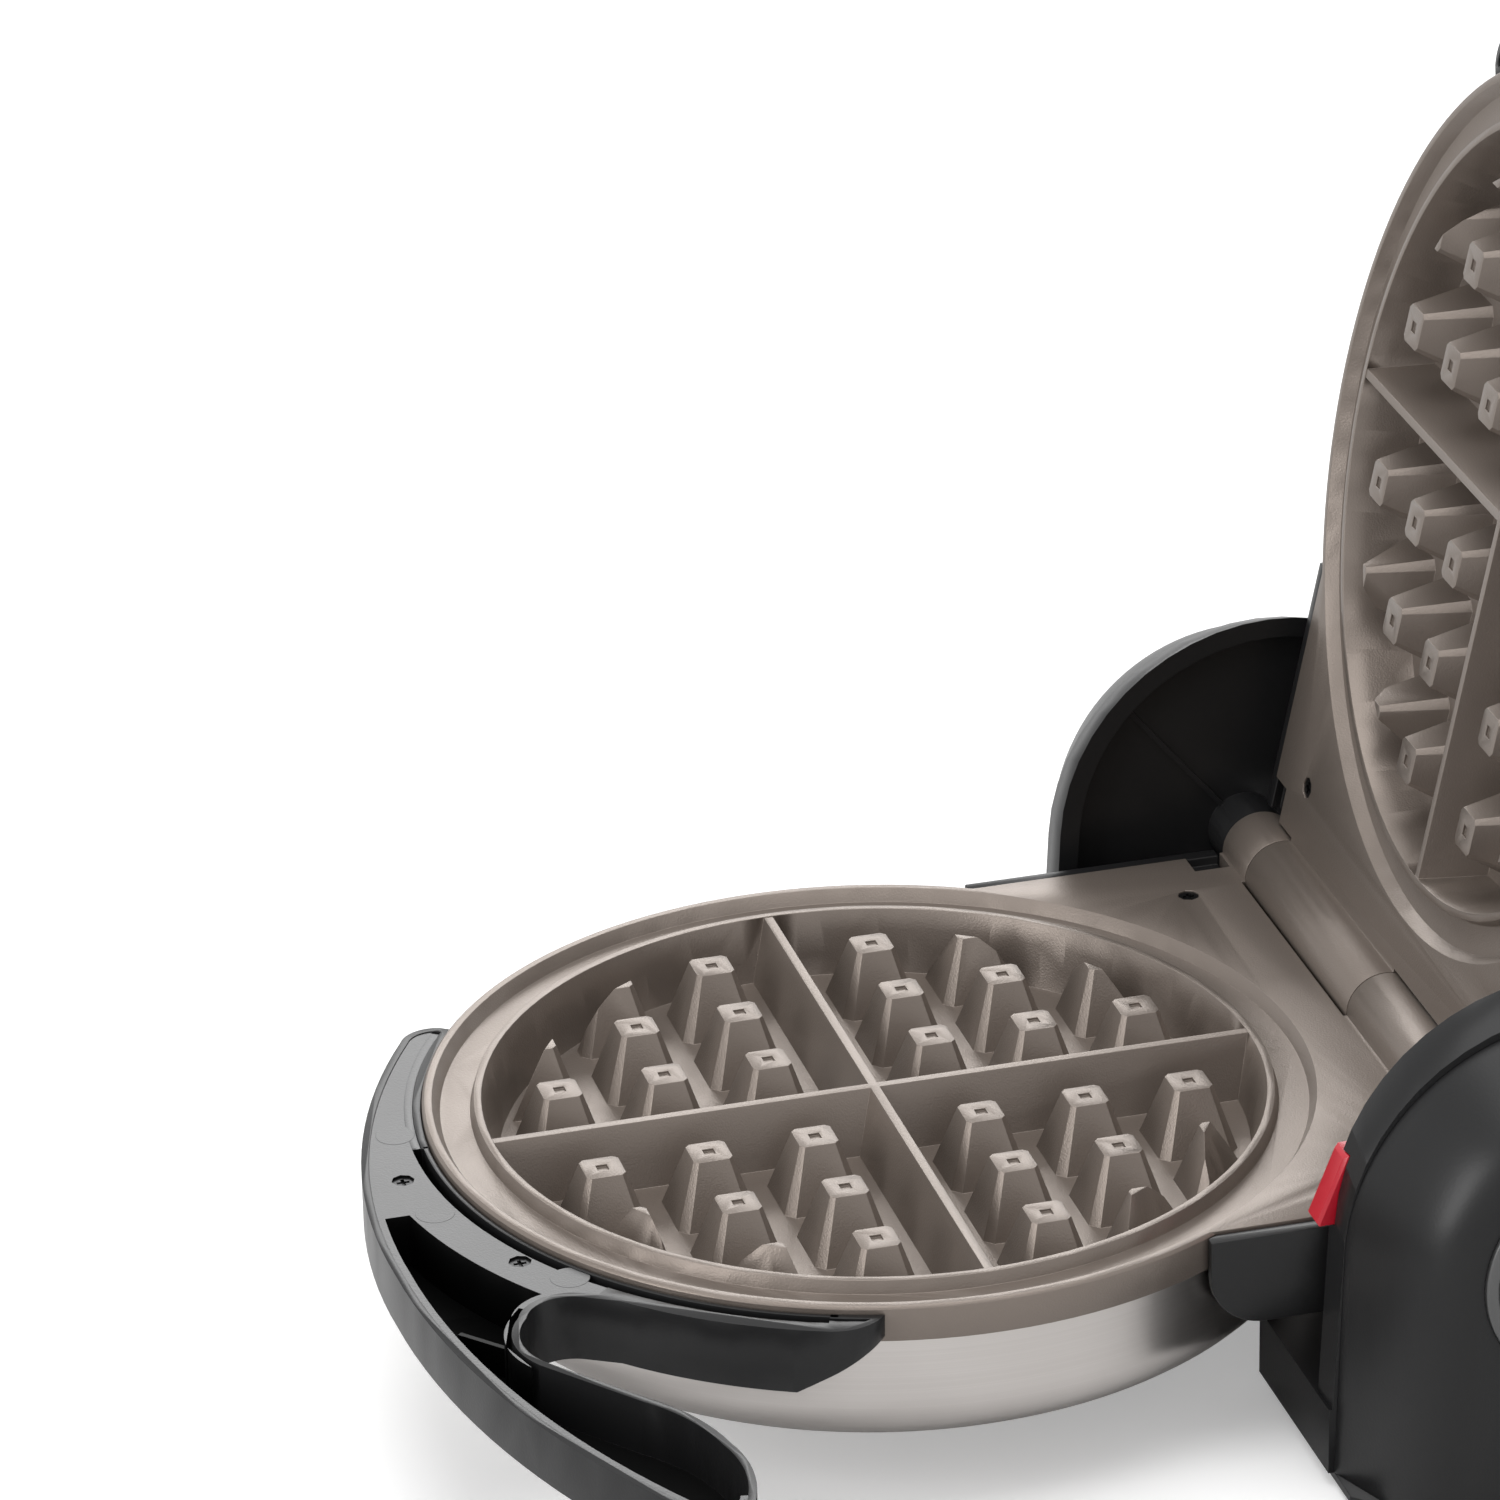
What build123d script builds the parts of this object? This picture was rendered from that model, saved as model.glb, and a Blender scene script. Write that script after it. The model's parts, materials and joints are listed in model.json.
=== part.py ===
from build123d import *
import math
import os

os.makedirs("parts", exist_ok=True)

# A flip-over round waffle maker. X runs along the hinge, the handle side is -Y, +Z is up.
# The origin lies on the table, straight below the middle of the hinge axis. Sizes are millimetres.

# ------------------------------------------------------------------ whole machine
AXIS_HEIGHT = 60.0  # hinge axis above the table
OPEN_ANGLE = 101.8  # how far the cover leans back from closed
PLATE_REACH = 126.5  # hinge axis to the middle of a plate
HALF_GAP = 0.3  # each half stays this far from the plane where the halves meet
SEAT = 0.05  # gap between faces that are fastened together
SIDE_GAP = 0.3  # gap between parts that turn past each other

# Round forms away from the grid plates are drawn with straight sides, more of them on larger ones.
SMALL_SIDES = 8
RING_SIDES = 24
LARGE_SIDES = 64

# ------------------------------------------------------------------ cast grid plate
MOULD_RADIUS = 92.9  # mouth of the waffle mould
MOULD_DEPTH = 16.0
MOULD_DRAFT = 4.5  # how much smaller the mould is at its floor
LIP_WIDTH = 1.8  # raised bead round the mould
GUTTER_RADIUS = 103.6  # outer edge of the drip gutter
GUTTER_DEPTH = 3.4
RIM_RADIUS = 106.0
SKIRT_DEPTH = 9.0
RIM_BEVEL = 0.7
PLATE_WALL = 3.0
FLANGE_HALF = 91.5  # half width of the flat tongue that reaches to the hinge
FLANGE_CLEARANCE = 0.8  # from the tongue's end to the other half's knuckles
NOTCH_WIDTH = 7.5  # corner relief beside the knuckles
NOTCH_DEPTH = 9.0
POCKET_PITCH = 25.4
FIRST_PEG = 20.1  # middle of the plate to the first peg
PEGS_PER_SIDE = 3
PEG_ROOT = 19.4
PEG_TIP = 9.4
PEG_CORNER = 2.2
DIMPLE_WIDTH = 2.6
DIMPLE_DEPTH = 0.6
PEG_FIELD_ROOT = 86.6  # outer limit of the pegs at the mould floor
PEG_FIELD_TIP = 80.4  # and at their tips
RIDGE_ROOT = 10.4  # cross ridges that part the waffle into quarters
RIDGE_CREST = 2.2
TIP_DROP = 0.5  # peg tips and ridge crests below the meeting plane

# ------------------------------------------------------------------ hinge
KNUCKLE_RADIUS = 9.5
KNUCKLE_END = 92.0  # outer end of the knuckle row
SHORT_KNUCKLE = 17.0
KNUCKLE_GAP = 0.4  # between neighbouring knuckles
SHAFT_RADIUS = 5.0
SHAFT_BORE = 3.2  # the shaft is a tube
RUNNING_FIT = 0.05  # knuckle bore on the shaft
FLANGE_SCREW_X = 72.0
FLANGE_SCREW_S = 25.0  # distance of those screws from the hinge axis

# ------------------------------------------------------------------ stainless shell and what it holds
SHELL_RADIUS = 105.2
SHELL_SHEET = 0.9
SHELL_SIDE = 24.0  # depth of the straight side, from the meeting plane
SHELL_DEPTH = 43.0
SHELL_FLAT = 78.0  # radius where the rounded corner meets the closed end
ELEMENT_OUTER = 61.0  # cast-in heating ring
ELEMENT_INNER = 54.0
ELEMENT_HEIGHT = 5.0
ELEMENT_MOUTH = 16.0  # gap between the ring's ends
REFLECTOR_RADIUS = 88.0
REFLECTOR_SHEET = 0.6
REFLECTOR_DROP = 32.0  # depth of the reflector sheet, from the meeting plane
POST_RADIUS = 5.0  # middle post that carries the reflector
THERMOSTAT_RADIUS = 8.0
THERMOSTAT_HEIGHT = 9.0
INNER_REACH = 30.0  # thermostat and fuse, off the middle
FUSE = (22.0, 6.0, 5.0)
TERMINALS = (34.0, 12.0, 9.0)
TERMINAL_REACH = 72.0

# ------------------------------------------------------------------ hinge housing
HOUSING_HALF = 95.6
HOUSING_DEPTH = 23.0
HOUSING_WALL = 2.2
HOUSING_FRONT = 75.3  # hinge axis to the front ends of the side brackets
HOUSING_TOP = 0.9  # side lips below the meeting plane
HOUSING_NOSE = 13.0  # rounding under the front ends

# ------------------------------------------------------------------ hook handle
HANDLE_TOP = 2.0  # handle faces below the meeting plane
HANDLE_DEPTH = 18.0
PAN_WALL = 1.8
PAN_FLOOR = 2.5
LINER_WALL = 1.7
RIM_FIT = 0.3  # handle to plate skirt
SLOT_WIDTH = 3.9  # open slot between rim and handle band
BAND_RADIUS = 120.7  # outer edge of the flat band beside the rim
ARM_RADIUS = 114.0  # outer face of the arm that hugs the rim
ARM_START = -46.0  # bearings from the plate's middle, degrees
ARM_END = -21.0
TOE_END = -15.0
ARM_BLEND = 3.0  # the solid arm runs this much further at each end
SLOT_START = -92.0
SLOT_END = -21.5
RECESS_START = 26.0
LOWER_EDGE = 2.5  # bevel under the outer wall
RECESS_RIB = 1.2
RECESS_RIB_TOP = 8.0  # its depth below the meeting plane
TRIM_DROP = 0.2  # the trim sits this far below the wall

# ------------------------------------------------------------------ pedestals and base
CHEEK_INNER = 100.5  # |X| of the cheek's inner rim
CHEEK_WEB = 104.6  # |X| of the recessed web
WEB_WALL = 2.4
SEAM = 110.5  # |X| of the seam between pedestal and outer cover
SEAM_DROP = 4.0  # how far the round top slopes down from the rim to the seam
CHEEK_RADIUS = 54.0
CHEEK_BACK = 5.0  # middle of the round top, behind the hinge axis
CHEEK_RISE = 3.5  # and above it
CHEEK_RIM = 5.0
FOOT_INNER = 62.0  # |X| of the foot block's inner side
FOOT_FRONT = -52.0
FOOT_BACK = 62.0
FOOT_TOP = 20.0
BRIDGE_FRONT = -14.0
BRIDGE_TOP = 13.0
BRIDGE_BEVEL = 2.0
BASE_WALL = 2.5
BODY_BOTTOM = 3.6  # underside of the mouldings
PLATE_BOTTOM = 1.5  # underside of the bottom plate
PLATE_INSET = 1.5
OUTER_DEPTH = 29.5  # how far an outer cover bulges from the seam
OUTER_ROUND = 19.0
OUTER_WALL = 2.4
OUTER_INNER_BEVEL = 13.0
OUTER_STEPS = 3  # straight steps of its rounding
BOSS_RADIUS = 9.0
BOSS_END = 112.0
SHAFT_END = 116.0
CLIP_RADIUS = 8.0
CLIP_SHEET = 1.2
RIB_BEARING = 130.0  # of the web's stiffening rib, from +Y towards +Z
RIB_HEIGHT = 1.0
RIB_WIDTH = 1.2
RIB_REACH = 48.0
PAD_RADIUS = 7.0
PAD_X = 92.0
PAD_FRONT = -42.0
PAD_BACK = 52.0
BASE_SCREW_X = 74.0
BASE_SCREW_Y = (-40.0, 50.0)
INLET_RADIUS = 4.2
INLET_BORE = 3.1
INLET_PROUD = 1.2

# ------------------------------------------------------------------ screws
SCREW_SHANK = 1.2
SCREW_HEAD = 2.5
SCREW_HEAD_HEIGHT = 1.2
SCREW_HOLE = 1.25
BASE_SCREW_LENGTH = 9.0
TONGUE_SCREW_LENGTH = 12.0
BAND_SCREW_LENGTH = 14.0

# ------------------------------------------------------------------ controls
PANEL_RISE = 2.5  # middle of the round panel above the hinge axis
BEZEL_RADIUS = 26.5
BEZEL_WIDTH = 3.0
BEZEL_PROUD = 1.4
PANEL_PROUD = 0.4
PANEL_THICK = 2.2
BUTTON_RADIUS = 4.0
BUTTON_PROUD = 1.3
BUTTON_TRAVEL = 1.0
BUTTON_FLANGE = 1.2  # how far a button's flange reaches past its stem
BUTTON_GAP = 0.3
MINUS_AT = (-12.0, -7.0)  # on the panel, from its middle
PLUS_AT = (12.0, -7.0)
START_AT = (0.0, -14.5)
LIGHT_AT = (0.0, -4.0)
LIGHT_RADIUS = 1.5
WINDOW_AT = (0.0, 8.0)
WINDOW = (22.0, 10.0)
BOARD = (54.0, 32.0, 1.6)
BOARD_FRONT = 133.5
STANDOFF = (24.5, 11.0)
STANDOFF_RADIUS = 2.2

# ------------------------------------------------------------------ lock tab
LOCK_INNER = 96.4
LOCK_OUTER = 103.5
LOCK_LOW = 63.9
LOCK_HEIGHT = 16.8
LOCK_FRONT_LOW = -53.3
LOCK_FRONT_HIGH = -46.6
LOCK_BACK = -42.0
LOCK_TRAVEL = 3.0
STEM = (3.0, 6.0)  # width and height of the stem behind the tab
GUIDE_FRONT = -34.0
GUIDE_THICK = 5.0
GUIDE_MARGIN = 2.4

MEETING_PLANE = Plane.XY.offset(AXIS_HEIGHT)
HINGE_AXIS = Axis((0, 0, AXIS_HEIGHT), (1, 0, 0))
TURN_AXIS = Axis((0, 0, AXIS_HEIGHT), (0, 1, 0))


def level(depth):
    """A horizontal plane at this depth below the meeting plane, centred on the lower plate."""
    return Plane((0, -PLATE_REACH, AXIS_HEIGHT - depth))


def post(radius, start, end, sides=RING_SIDES, mode=Mode.ADD):
    """An upright post or hole with straight sides, at the places in force, from one height to another."""
    length = end - start
    with BuildPart(Plane.XY, mode=Mode.PRIVATE) as one:
        with BuildSketch(Plane.XY.offset(start)):
            RegularPolygon(radius, sides)
        extrude(amount=length)
    return add(one.part, mode=mode)


def drawn_out(face, steps):
    """A solid drawn out from a face through (half width, place along it) steps, each with sloping sides."""
    with BuildPart() as body:
        for (width, place), (next_width, next_place) in zip(steps, steps[1:]):
            length = abs(next_place - place)
            extrude(face, amount=length, taper=math.degrees(math.atan2(width - next_width, length)))
            middle = face.center() + face.normal_at() * length
            face = body.faces().sort_by_distance(middle)[0]
    return body.part


def save(piece, name):
    """Names a finished piece and writes it."""
    piece.label = name
    export_step(piece, f"parts/{name}.step")


def as_cover(piece):
    """The same casting or pressing on the cover: turned over sideways, then swung open."""
    return piece.rotate(TURN_AXIS, 180).rotate(HINGE_AXIS, -OPEN_ANGLE)


def mirrored_to_cover(piece):
    """A handed piece on the cover: the mirror image across the meeting plane, swung open."""
    return piece.mirror(MEETING_PLANE).rotate(HINGE_AXIS, -OPEN_ANGLE)


def save_pair(piece, name, handed=False):
    """Writes a piece of the lower half and its twin on the cover."""
    twin = mirrored_to_cover(piece) if handed else as_cover(piece)
    save(piece, f"lower_{name}")
    save(twin, f"cover_{name}")


# ================================================================== cast grid plate
mould_floor = MOULD_RADIUS - MOULD_DRAFT
peg_height = MOULD_DEPTH - TIP_DROP
peg_places = []
for column in range(PEGS_PER_SIDE):
    for row in range(PEGS_PER_SIDE):
        if column + row < 2 * (PEGS_PER_SIDE - 1):
            for side_x in (-1, 1):
                for side_y in (-1, 1):
                    along = side_x * (FIRST_PEG + column * POCKET_PITCH)
                    across = side_y * (FIRST_PEG + row * POCKET_PITCH)
                    peg_places.append((along, across, 0))


def sloping_bar(turn, root, crest, reach, mode=Mode.ADD):
    """A bar with sloping sides through the middle of the mould, turned about Z."""
    with BuildSketch(Plane.XZ.rotated((0, 0, turn))) as section:
        with BuildLine():
            Polyline(
                (-root / 2, 0),
                (root / 2, 0),
                (crest / 2, peg_height),
                (-crest / 2, peg_height),
                close=True,
            )
        make_face()
    return extrude(section.sketch, amount=reach, both=True, mode=mode)


# A peg is a tapered post with four cut corners and a dimple in its tip.
corner_root = (PEG_ROOT - PEG_CORNER) * math.sqrt(2)
corner_tip = (PEG_TIP - PEG_CORNER / 2) * math.sqrt(2)
with BuildPart() as peg:
    sloping_bar(0, PEG_ROOT, PEG_TIP, PEG_ROOT)
    sloping_bar(90, PEG_ROOT, PEG_TIP, PEG_ROOT, Mode.INTERSECT)
    sloping_bar(45, corner_root, corner_tip, PEG_ROOT, Mode.INTERSECT)
    sloping_bar(135, corner_root, corner_tip, PEG_ROOT, Mode.INTERSECT)
    with Locations((0, 0, peg_height)):
        Box(DIMPLE_WIDTH, DIMPLE_WIDTH, 2 * DIMPLE_DEPTH, mode=Mode.SUBTRACT)

# The round wall clips the outermost pegs to slim wedges.
whole_places = [at for at in peg_places if math.hypot(at[0], at[1]) < PEG_FIELD_TIP - PEG_TIP]
clipped_places = [at for at in peg_places if at not in whole_places]
with BuildPart() as clipped_pegs:
    with Locations(*clipped_places):
        add(peg.part)
    with Locations((0, 0, peg_height / 2)):
        Cone(PEG_FIELD_ROOT, PEG_FIELD_TIP, peg_height, mode=Mode.INTERSECT)

with BuildPart() as ridges:
    sloping_bar(0, RIDGE_ROOT, RIDGE_CREST, MOULD_RADIUS)
    sloping_bar(90, RIDGE_ROOT, RIDGE_CREST, MOULD_RADIUS)
    with Locations((0, 0, peg_height / 2)):
        Cone(mould_floor + 1, MOULD_RADIUS, peg_height, mode=Mode.INTERSECT)

flange_underside = HALF_GAP + PLATE_WALL
flange_end = KNUCKLE_RADIUS + FLANGE_CLEARANCE
long_knuckle = KNUCKLE_END - SHORT_KNUCKLE - KNUCKLE_GAP
knuckle_spans = [
    (-KNUCKLE_END, -KNUCKLE_END + SHORT_KNUCKLE),
    (KNUCKLE_GAP / 2, long_knuckle),
]

tongue_screw_places = [(side * FLANGE_SCREW_X, PLATE_REACH - FLANGE_SCREW_S, -HALF_GAP) for side in (-1, 1)]
plate_underside = MOULD_DEPTH + PLATE_WALL

with BuildPart() as grid_plate:
    # the bowl, its lip, the drip gutter and the skirt are one turned section
    with BuildSketch(Plane.XZ):
        with BuildLine():
            Polyline(
                (0, -MOULD_DEPTH),
                (mould_floor, -MOULD_DEPTH),
                (MOULD_RADIUS - LIP_WIDTH / 2, -HALF_GAP),
                (MOULD_RADIUS + LIP_WIDTH / 2, -HALF_GAP),
                (MOULD_RADIUS + LIP_WIDTH, -GUTTER_DEPTH),
                (GUTTER_RADIUS - LIP_WIDTH, -GUTTER_DEPTH),
                (GUTTER_RADIUS, -HALF_GAP),
                (RIM_RADIUS - RIM_BEVEL, -HALF_GAP),
                (RIM_RADIUS, -HALF_GAP - RIM_BEVEL),
                (RIM_RADIUS, -SKIRT_DEPTH),
                (MOULD_RADIUS + PLATE_WALL, -SKIRT_DEPTH),
                (MOULD_RADIUS + PLATE_WALL, -MOULD_DEPTH - PLATE_WALL),
                (0, -MOULD_DEPTH - PLATE_WALL),
                close=True,
            )
        make_face()
    revolve(axis=Axis.Z)
    # flat tongue towards the hinge, which is here at y = PLATE_REACH
    with BuildSketch(Plane.XY.offset(-flange_underside)):
        with Locations((0, PLATE_REACH - flange_end)):
            Rectangle(2 * FLANGE_HALF, 72, align=(Align.CENTER, Align.MAX))
        with Locations((FLANGE_HALF, PLATE_REACH - flange_end), (-FLANGE_HALF, PLATE_REACH - flange_end)):
            Rectangle(2 * NOTCH_WIDTH, 2 * NOTCH_DEPTH, mode=Mode.SUBTRACT)
        Circle(GUTTER_RADIUS + 0.6, mode=Mode.SUBTRACT)
    extrude(amount=PLATE_WALL)
    for start, end in knuckle_spans:
        middle = (start + end) / 2
        with Locations(Location((middle, PLATE_REACH, 0), (0, 90, 0))):
            Cylinder(KNUCKLE_RADIUS, end - start)
        with Locations((middle, PLATE_REACH, -HALF_GAP)):
            Box(end - start, flange_end, PLATE_WALL + 2, align=(Align.CENTER, Align.MAX, Align.MAX))
    with Locations(Location((0, PLATE_REACH, 0), (0, 90, 0))):
        Cylinder(SHAFT_RADIUS + RUNNING_FIT, 4 * KNUCKLE_END, mode=Mode.SUBTRACT)
    # screw holes of the tongue, and the post that carries the reflector
    with Locations(*tongue_screw_places):
        post(SCREW_HOLE + 0.3, -2 * PLATE_WALL, 1, SMALL_SIDES, Mode.SUBTRACT)
        post(SCREW_HEAD + 0.2, -SCREW_HEAD_HEIGHT - 0.4, 1, SMALL_SIDES, Mode.SUBTRACT)
    post(POST_RADIUS, -REFLECTOR_DROP + SEAT, 0.5 - plate_underside, SMALL_SIDES)
    with Locations((0, 0, -MOULD_DEPTH)):
        with Locations(*whole_places):
            add(peg.part)
        add(clipped_pegs.part)
        add(ridges.part)

plate_at = Location((0, -PLATE_REACH, AXIS_HEIGHT))
lower_plate = grid_plate.part.moved(plate_at)
save_pair(lower_plate, "grid_plate")

# ================================================================== stainless shell
# The rounded corner is two straight steps along a quarter ellipse.
corner_steps = []
for turn in (0, 50, 90):
    across = SHELL_FLAT + (SHELL_RADIUS - SHELL_FLAT) * math.cos(math.radians(turn))
    down = SHELL_SIDE + (SHELL_DEPTH - SHELL_SIDE) * math.sin(math.radians(turn))
    corner_steps.append((across, -down))
rim_level = -SKIRT_DEPTH - SEAT

outer_steps = [(SHELL_RADIUS, rim_level), *corner_steps]
inner_steps = [
    (SHELL_RADIUS - SHELL_SHEET, rim_level),
    (SHELL_RADIUS - SHELL_SHEET, corner_steps[0][1]),
    (corner_steps[1][0] - SHELL_SHEET, corner_steps[1][1] + SHELL_SHEET / 2),
    (SHELL_FLAT, -SHELL_DEPTH + SHELL_SHEET),
]
downwards = Plane((0, 0, rim_level), z_dir=(0, 0, -1))
with BuildPart() as shell:
    for steps, mode in ((outer_steps, Mode.ADD), (inner_steps, Mode.SUBTRACT)):
        with BuildSketch(downwards, mode=Mode.PRIVATE) as mouth:
            RegularPolygon(steps[0][0], LARGE_SIDES)
        add(drawn_out(mouth.sketch.face(), steps), mode=mode)
save_pair(shell.part.moved(plate_at), "shell")

# ================================================================== heating and control inside a half
with BuildPart() as element:
    with BuildSketch(Plane.XY.offset(-plate_underside - SEAT)):
        RegularPolygon(ELEMENT_OUTER, RING_SIDES)
        RegularPolygon(ELEMENT_INNER, RING_SIDES, mode=Mode.SUBTRACT)
        with Locations((0, ELEMENT_OUTER)):
            Rectangle(ELEMENT_MOUTH, ELEMENT_OUTER, mode=Mode.SUBTRACT)
    extrude(amount=-ELEMENT_HEIGHT)
save_pair(element.part.moved(plate_at), "heating_element")

with BuildPart() as reflector:
    with BuildSketch(Plane.XY.offset(-REFLECTOR_DROP)):
        RegularPolygon(REFLECTOR_RADIUS, RING_SIDES)
    extrude(amount=-REFLECTOR_SHEET)
save_pair(reflector.part.moved(plate_at), "reflector")

with BuildPart() as thermostat:
    with BuildSketch(Plane.XY.offset(-plate_underside - SEAT)):
        with Locations((INNER_REACH, 0)):
            RegularPolygon(THERMOSTAT_RADIUS, RING_SIDES // 2)
    extrude(amount=-THERMOSTAT_HEIGHT)
save_pair(thermostat.part.moved(plate_at), "thermostat")

with BuildPart() as fuse:
    with Locations((-INNER_REACH, 0, -plate_underside - SEAT)):
        Box(*FUSE, align=(Align.CENTER, Align.CENTER, Align.MAX))
    chamfer(fuse.edges().filter_by(Axis.X).group_by(Axis.Z)[0], 1)
save_pair(fuse.part.moved(plate_at), "thermal_fuse")

with BuildPart() as terminals:
    with Locations((0, TERMINAL_REACH, -plate_underside - SEAT)):
        Box(*TERMINALS, align=(Align.CENTER, Align.CENTER, Align.MAX))
    with Locations((0, TERMINAL_REACH, -plate_underside - TERMINALS[2])):
        with GridLocations(TERMINALS[0] / 3, 0, 3, 1):
            Box(TERMINALS[0] / 5, TERMINALS[1] / 2, TERMINALS[2] / 2, mode=Mode.SUBTRACT)
save_pair(terminals.part.moved(plate_at), "terminal_block")

# ================================================================== hinge housing
housing_clear = RIM_RADIUS + RIM_FIT
with BuildPart() as housing:
    with BuildSketch(level(HOUSING_DEPTH)):
        with Locations((0, PLATE_REACH - flange_end - SIDE_GAP)):
            Rectangle(2 * HOUSING_HALF, HOUSING_FRONT - flange_end - SIDE_GAP,
                      align=(Align.CENTER, Align.MAX))
        Circle(housing_clear, mode=Mode.SUBTRACT)
    extrude(amount=HOUSING_DEPTH - HOUSING_TOP)
    noses = housing.edges().filter_by(Axis.X).group_by(Axis.Z)[0].sort_by(Axis.Y)[:2]
    fillet(noses, HOUSING_NOSE)
    # seat of the plate's tongue
    with BuildSketch(level(flange_underside)):
        with Locations((0, PLATE_REACH)):
            Rectangle(2 * (FLANGE_HALF + SIDE_GAP), HOUSING_FRONT + 4, align=(Align.CENTER, Align.MAX))
    extrude(amount=PLATE_WALL, mode=Mode.SUBTRACT)
    # hollow under the tongue
    with BuildSketch(level(HOUSING_DEPTH - HOUSING_WALL)):
        with Locations((0, PLATE_REACH - flange_end - SIDE_GAP - HOUSING_WALL)):
            Rectangle(2 * (HOUSING_HALF - 3 * HOUSING_WALL), HOUSING_FRONT - flange_end - HOUSING_NOSE,
                      align=(Align.CENTER, Align.MAX))
        Circle(housing_clear + HOUSING_WALL, mode=Mode.SUBTRACT)
    extrude(amount=HOUSING_DEPTH - HOUSING_WALL - flange_underside + SEAT, mode=Mode.SUBTRACT)
    # bosses for the tongue's screws
    with BuildSketch(level(HOUSING_DEPTH - HOUSING_WALL / 2)):
        with Locations(*[(x, y) for x, y, z in tongue_screw_places]):
            Rectangle(3 * SCREW_HEAD, 3 * SCREW_HEAD)
    extrude(amount=HOUSING_DEPTH - HOUSING_WALL / 2 - flange_underside - SEAT)
    tongue_seat = AXIS_HEIGHT - flange_underside
    with Locations(*[(x, y - PLATE_REACH, tongue_seat) for x, y, z in tongue_screw_places]):
        post(SCREW_HOLE, -HOUSING_DEPTH / 2, 1, SMALL_SIDES, Mode.SUBTRACT)
save_pair(housing.part, "hinge_housing")


def screws(places, length):
    """Screws standing head up at these places, where a place is the seat under the head."""
    with BuildPart() as screw:
        for radius, reach in ((SCREW_HEAD, SCREW_HEAD_HEIGHT), (SCREW_SHANK, -length)):
            with BuildSketch():
                RegularPolygon(radius, SMALL_SIDES)
            extrude(amount=reach)
    with BuildPart() as group:
        with Locations(*places):
            add(screw.part)
    return group.part


head_seat = AXIS_HEIGHT - HALF_GAP - SCREW_HEAD_HEIGHT - 0.4 + SEAT
tongue_screw_seats = [(x, y - PLATE_REACH, head_seat) for x, y, z in tongue_screw_places]
save_pair(screws(tongue_screw_seats, TONGUE_SCREW_LENGTH), "tongue_screws")

# ================================================================== hook handle
# Outline points and bearings are measured from the middle of the plate.
TIP = (-61.9, -89.8)
HEEL = (-57.5, -100.5)
HOOK_MIDDLE = (-2.9, -122.6)
HOOK_CREST = (52.4, -127.4)
HOOK_OUTER = (112.0, -117.6)
HOOK_SHOULDER = (170.0, -91.6)
HOOK_NOSE = (175.4, -82.6)
HOOK_END = (168.6, -75.3)
PALM_INNER = (146.3, -74.9)
PALM_WAIST = (122.0, -87.5)
GAP_BEND = (100.4, -104.7)
GAP_TURN = (80.5, -104.0)
GAP_CORNER = (74.6, -90.0)
BAND_SCREWS = ((9.4, -115.5), (54.5, -99.0))
RIB_MIDDLE = (77.2, -113.1)
RIB_TURN = 42.0  # degrees from X
RIB_LENGTH = 13.2


def polar(radius, bearing):
    """A point at this distance and bearing from the plate's middle."""
    return radius * math.cos(math.radians(bearing)), radius * math.sin(math.radians(bearing))


fit_radius = RIM_RADIUS + RIM_FIT
tip_bearing = math.degrees(math.atan2(TIP[1], TIP[0]))
toe_middle = polar(ARM_RADIUS - 1.6, (ARM_END + TOE_END) / 2)
with BuildSketch() as hook_outline:
    with BuildLine():
        ThreePointArc(TIP, (-61.6, -96.6), HEEL)
        ThreePointArc(HEEL, HOOK_MIDDLE, HOOK_CREST)
        ThreePointArc(HOOK_CREST, HOOK_OUTER, HOOK_SHOULDER)
        ThreePointArc(HOOK_SHOULDER, HOOK_NOSE, HOOK_END)
        ThreePointArc(HOOK_END, (157.3, -73.3), PALM_INNER)
        ThreePointArc(PALM_INNER, (133.0, -79.6), PALM_WAIST)
        Line(PALM_WAIST, GAP_BEND)
        ThreePointArc(GAP_BEND, (91.0, -107.6), GAP_TURN)
        ThreePointArc(GAP_TURN, (74.2, -98.0), GAP_CORNER)
        Line(GAP_CORNER, polar(ARM_RADIUS, ARM_START))
        CenterArc((0, 0), ARM_RADIUS, ARM_START, ARM_END - ARM_START)
        ThreePointArc(polar(ARM_RADIUS, ARM_END), toe_middle, polar(fit_radius, TOE_END))
        CenterArc((0, 0), fit_radius, TOE_END, tip_bearing - TOE_END)
        Line(polar(fit_radius, tip_bearing), TIP)
    make_face()


def sector(inner, outer, start, end):
    """Part of a ring round the plate's middle, between two radii and two bearings."""
    reach = 2 * outer
    corners = [(0, 0)] + [polar(reach, bearing) for bearing in (start, (start + end) / 2, end)]
    with BuildSketch() as ring:
        Circle(outer)
        Circle(inner, mode=Mode.SUBTRACT)
        Polygon(*corners, align=None, mode=Mode.INTERSECT)
    return ring.sketch


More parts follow.
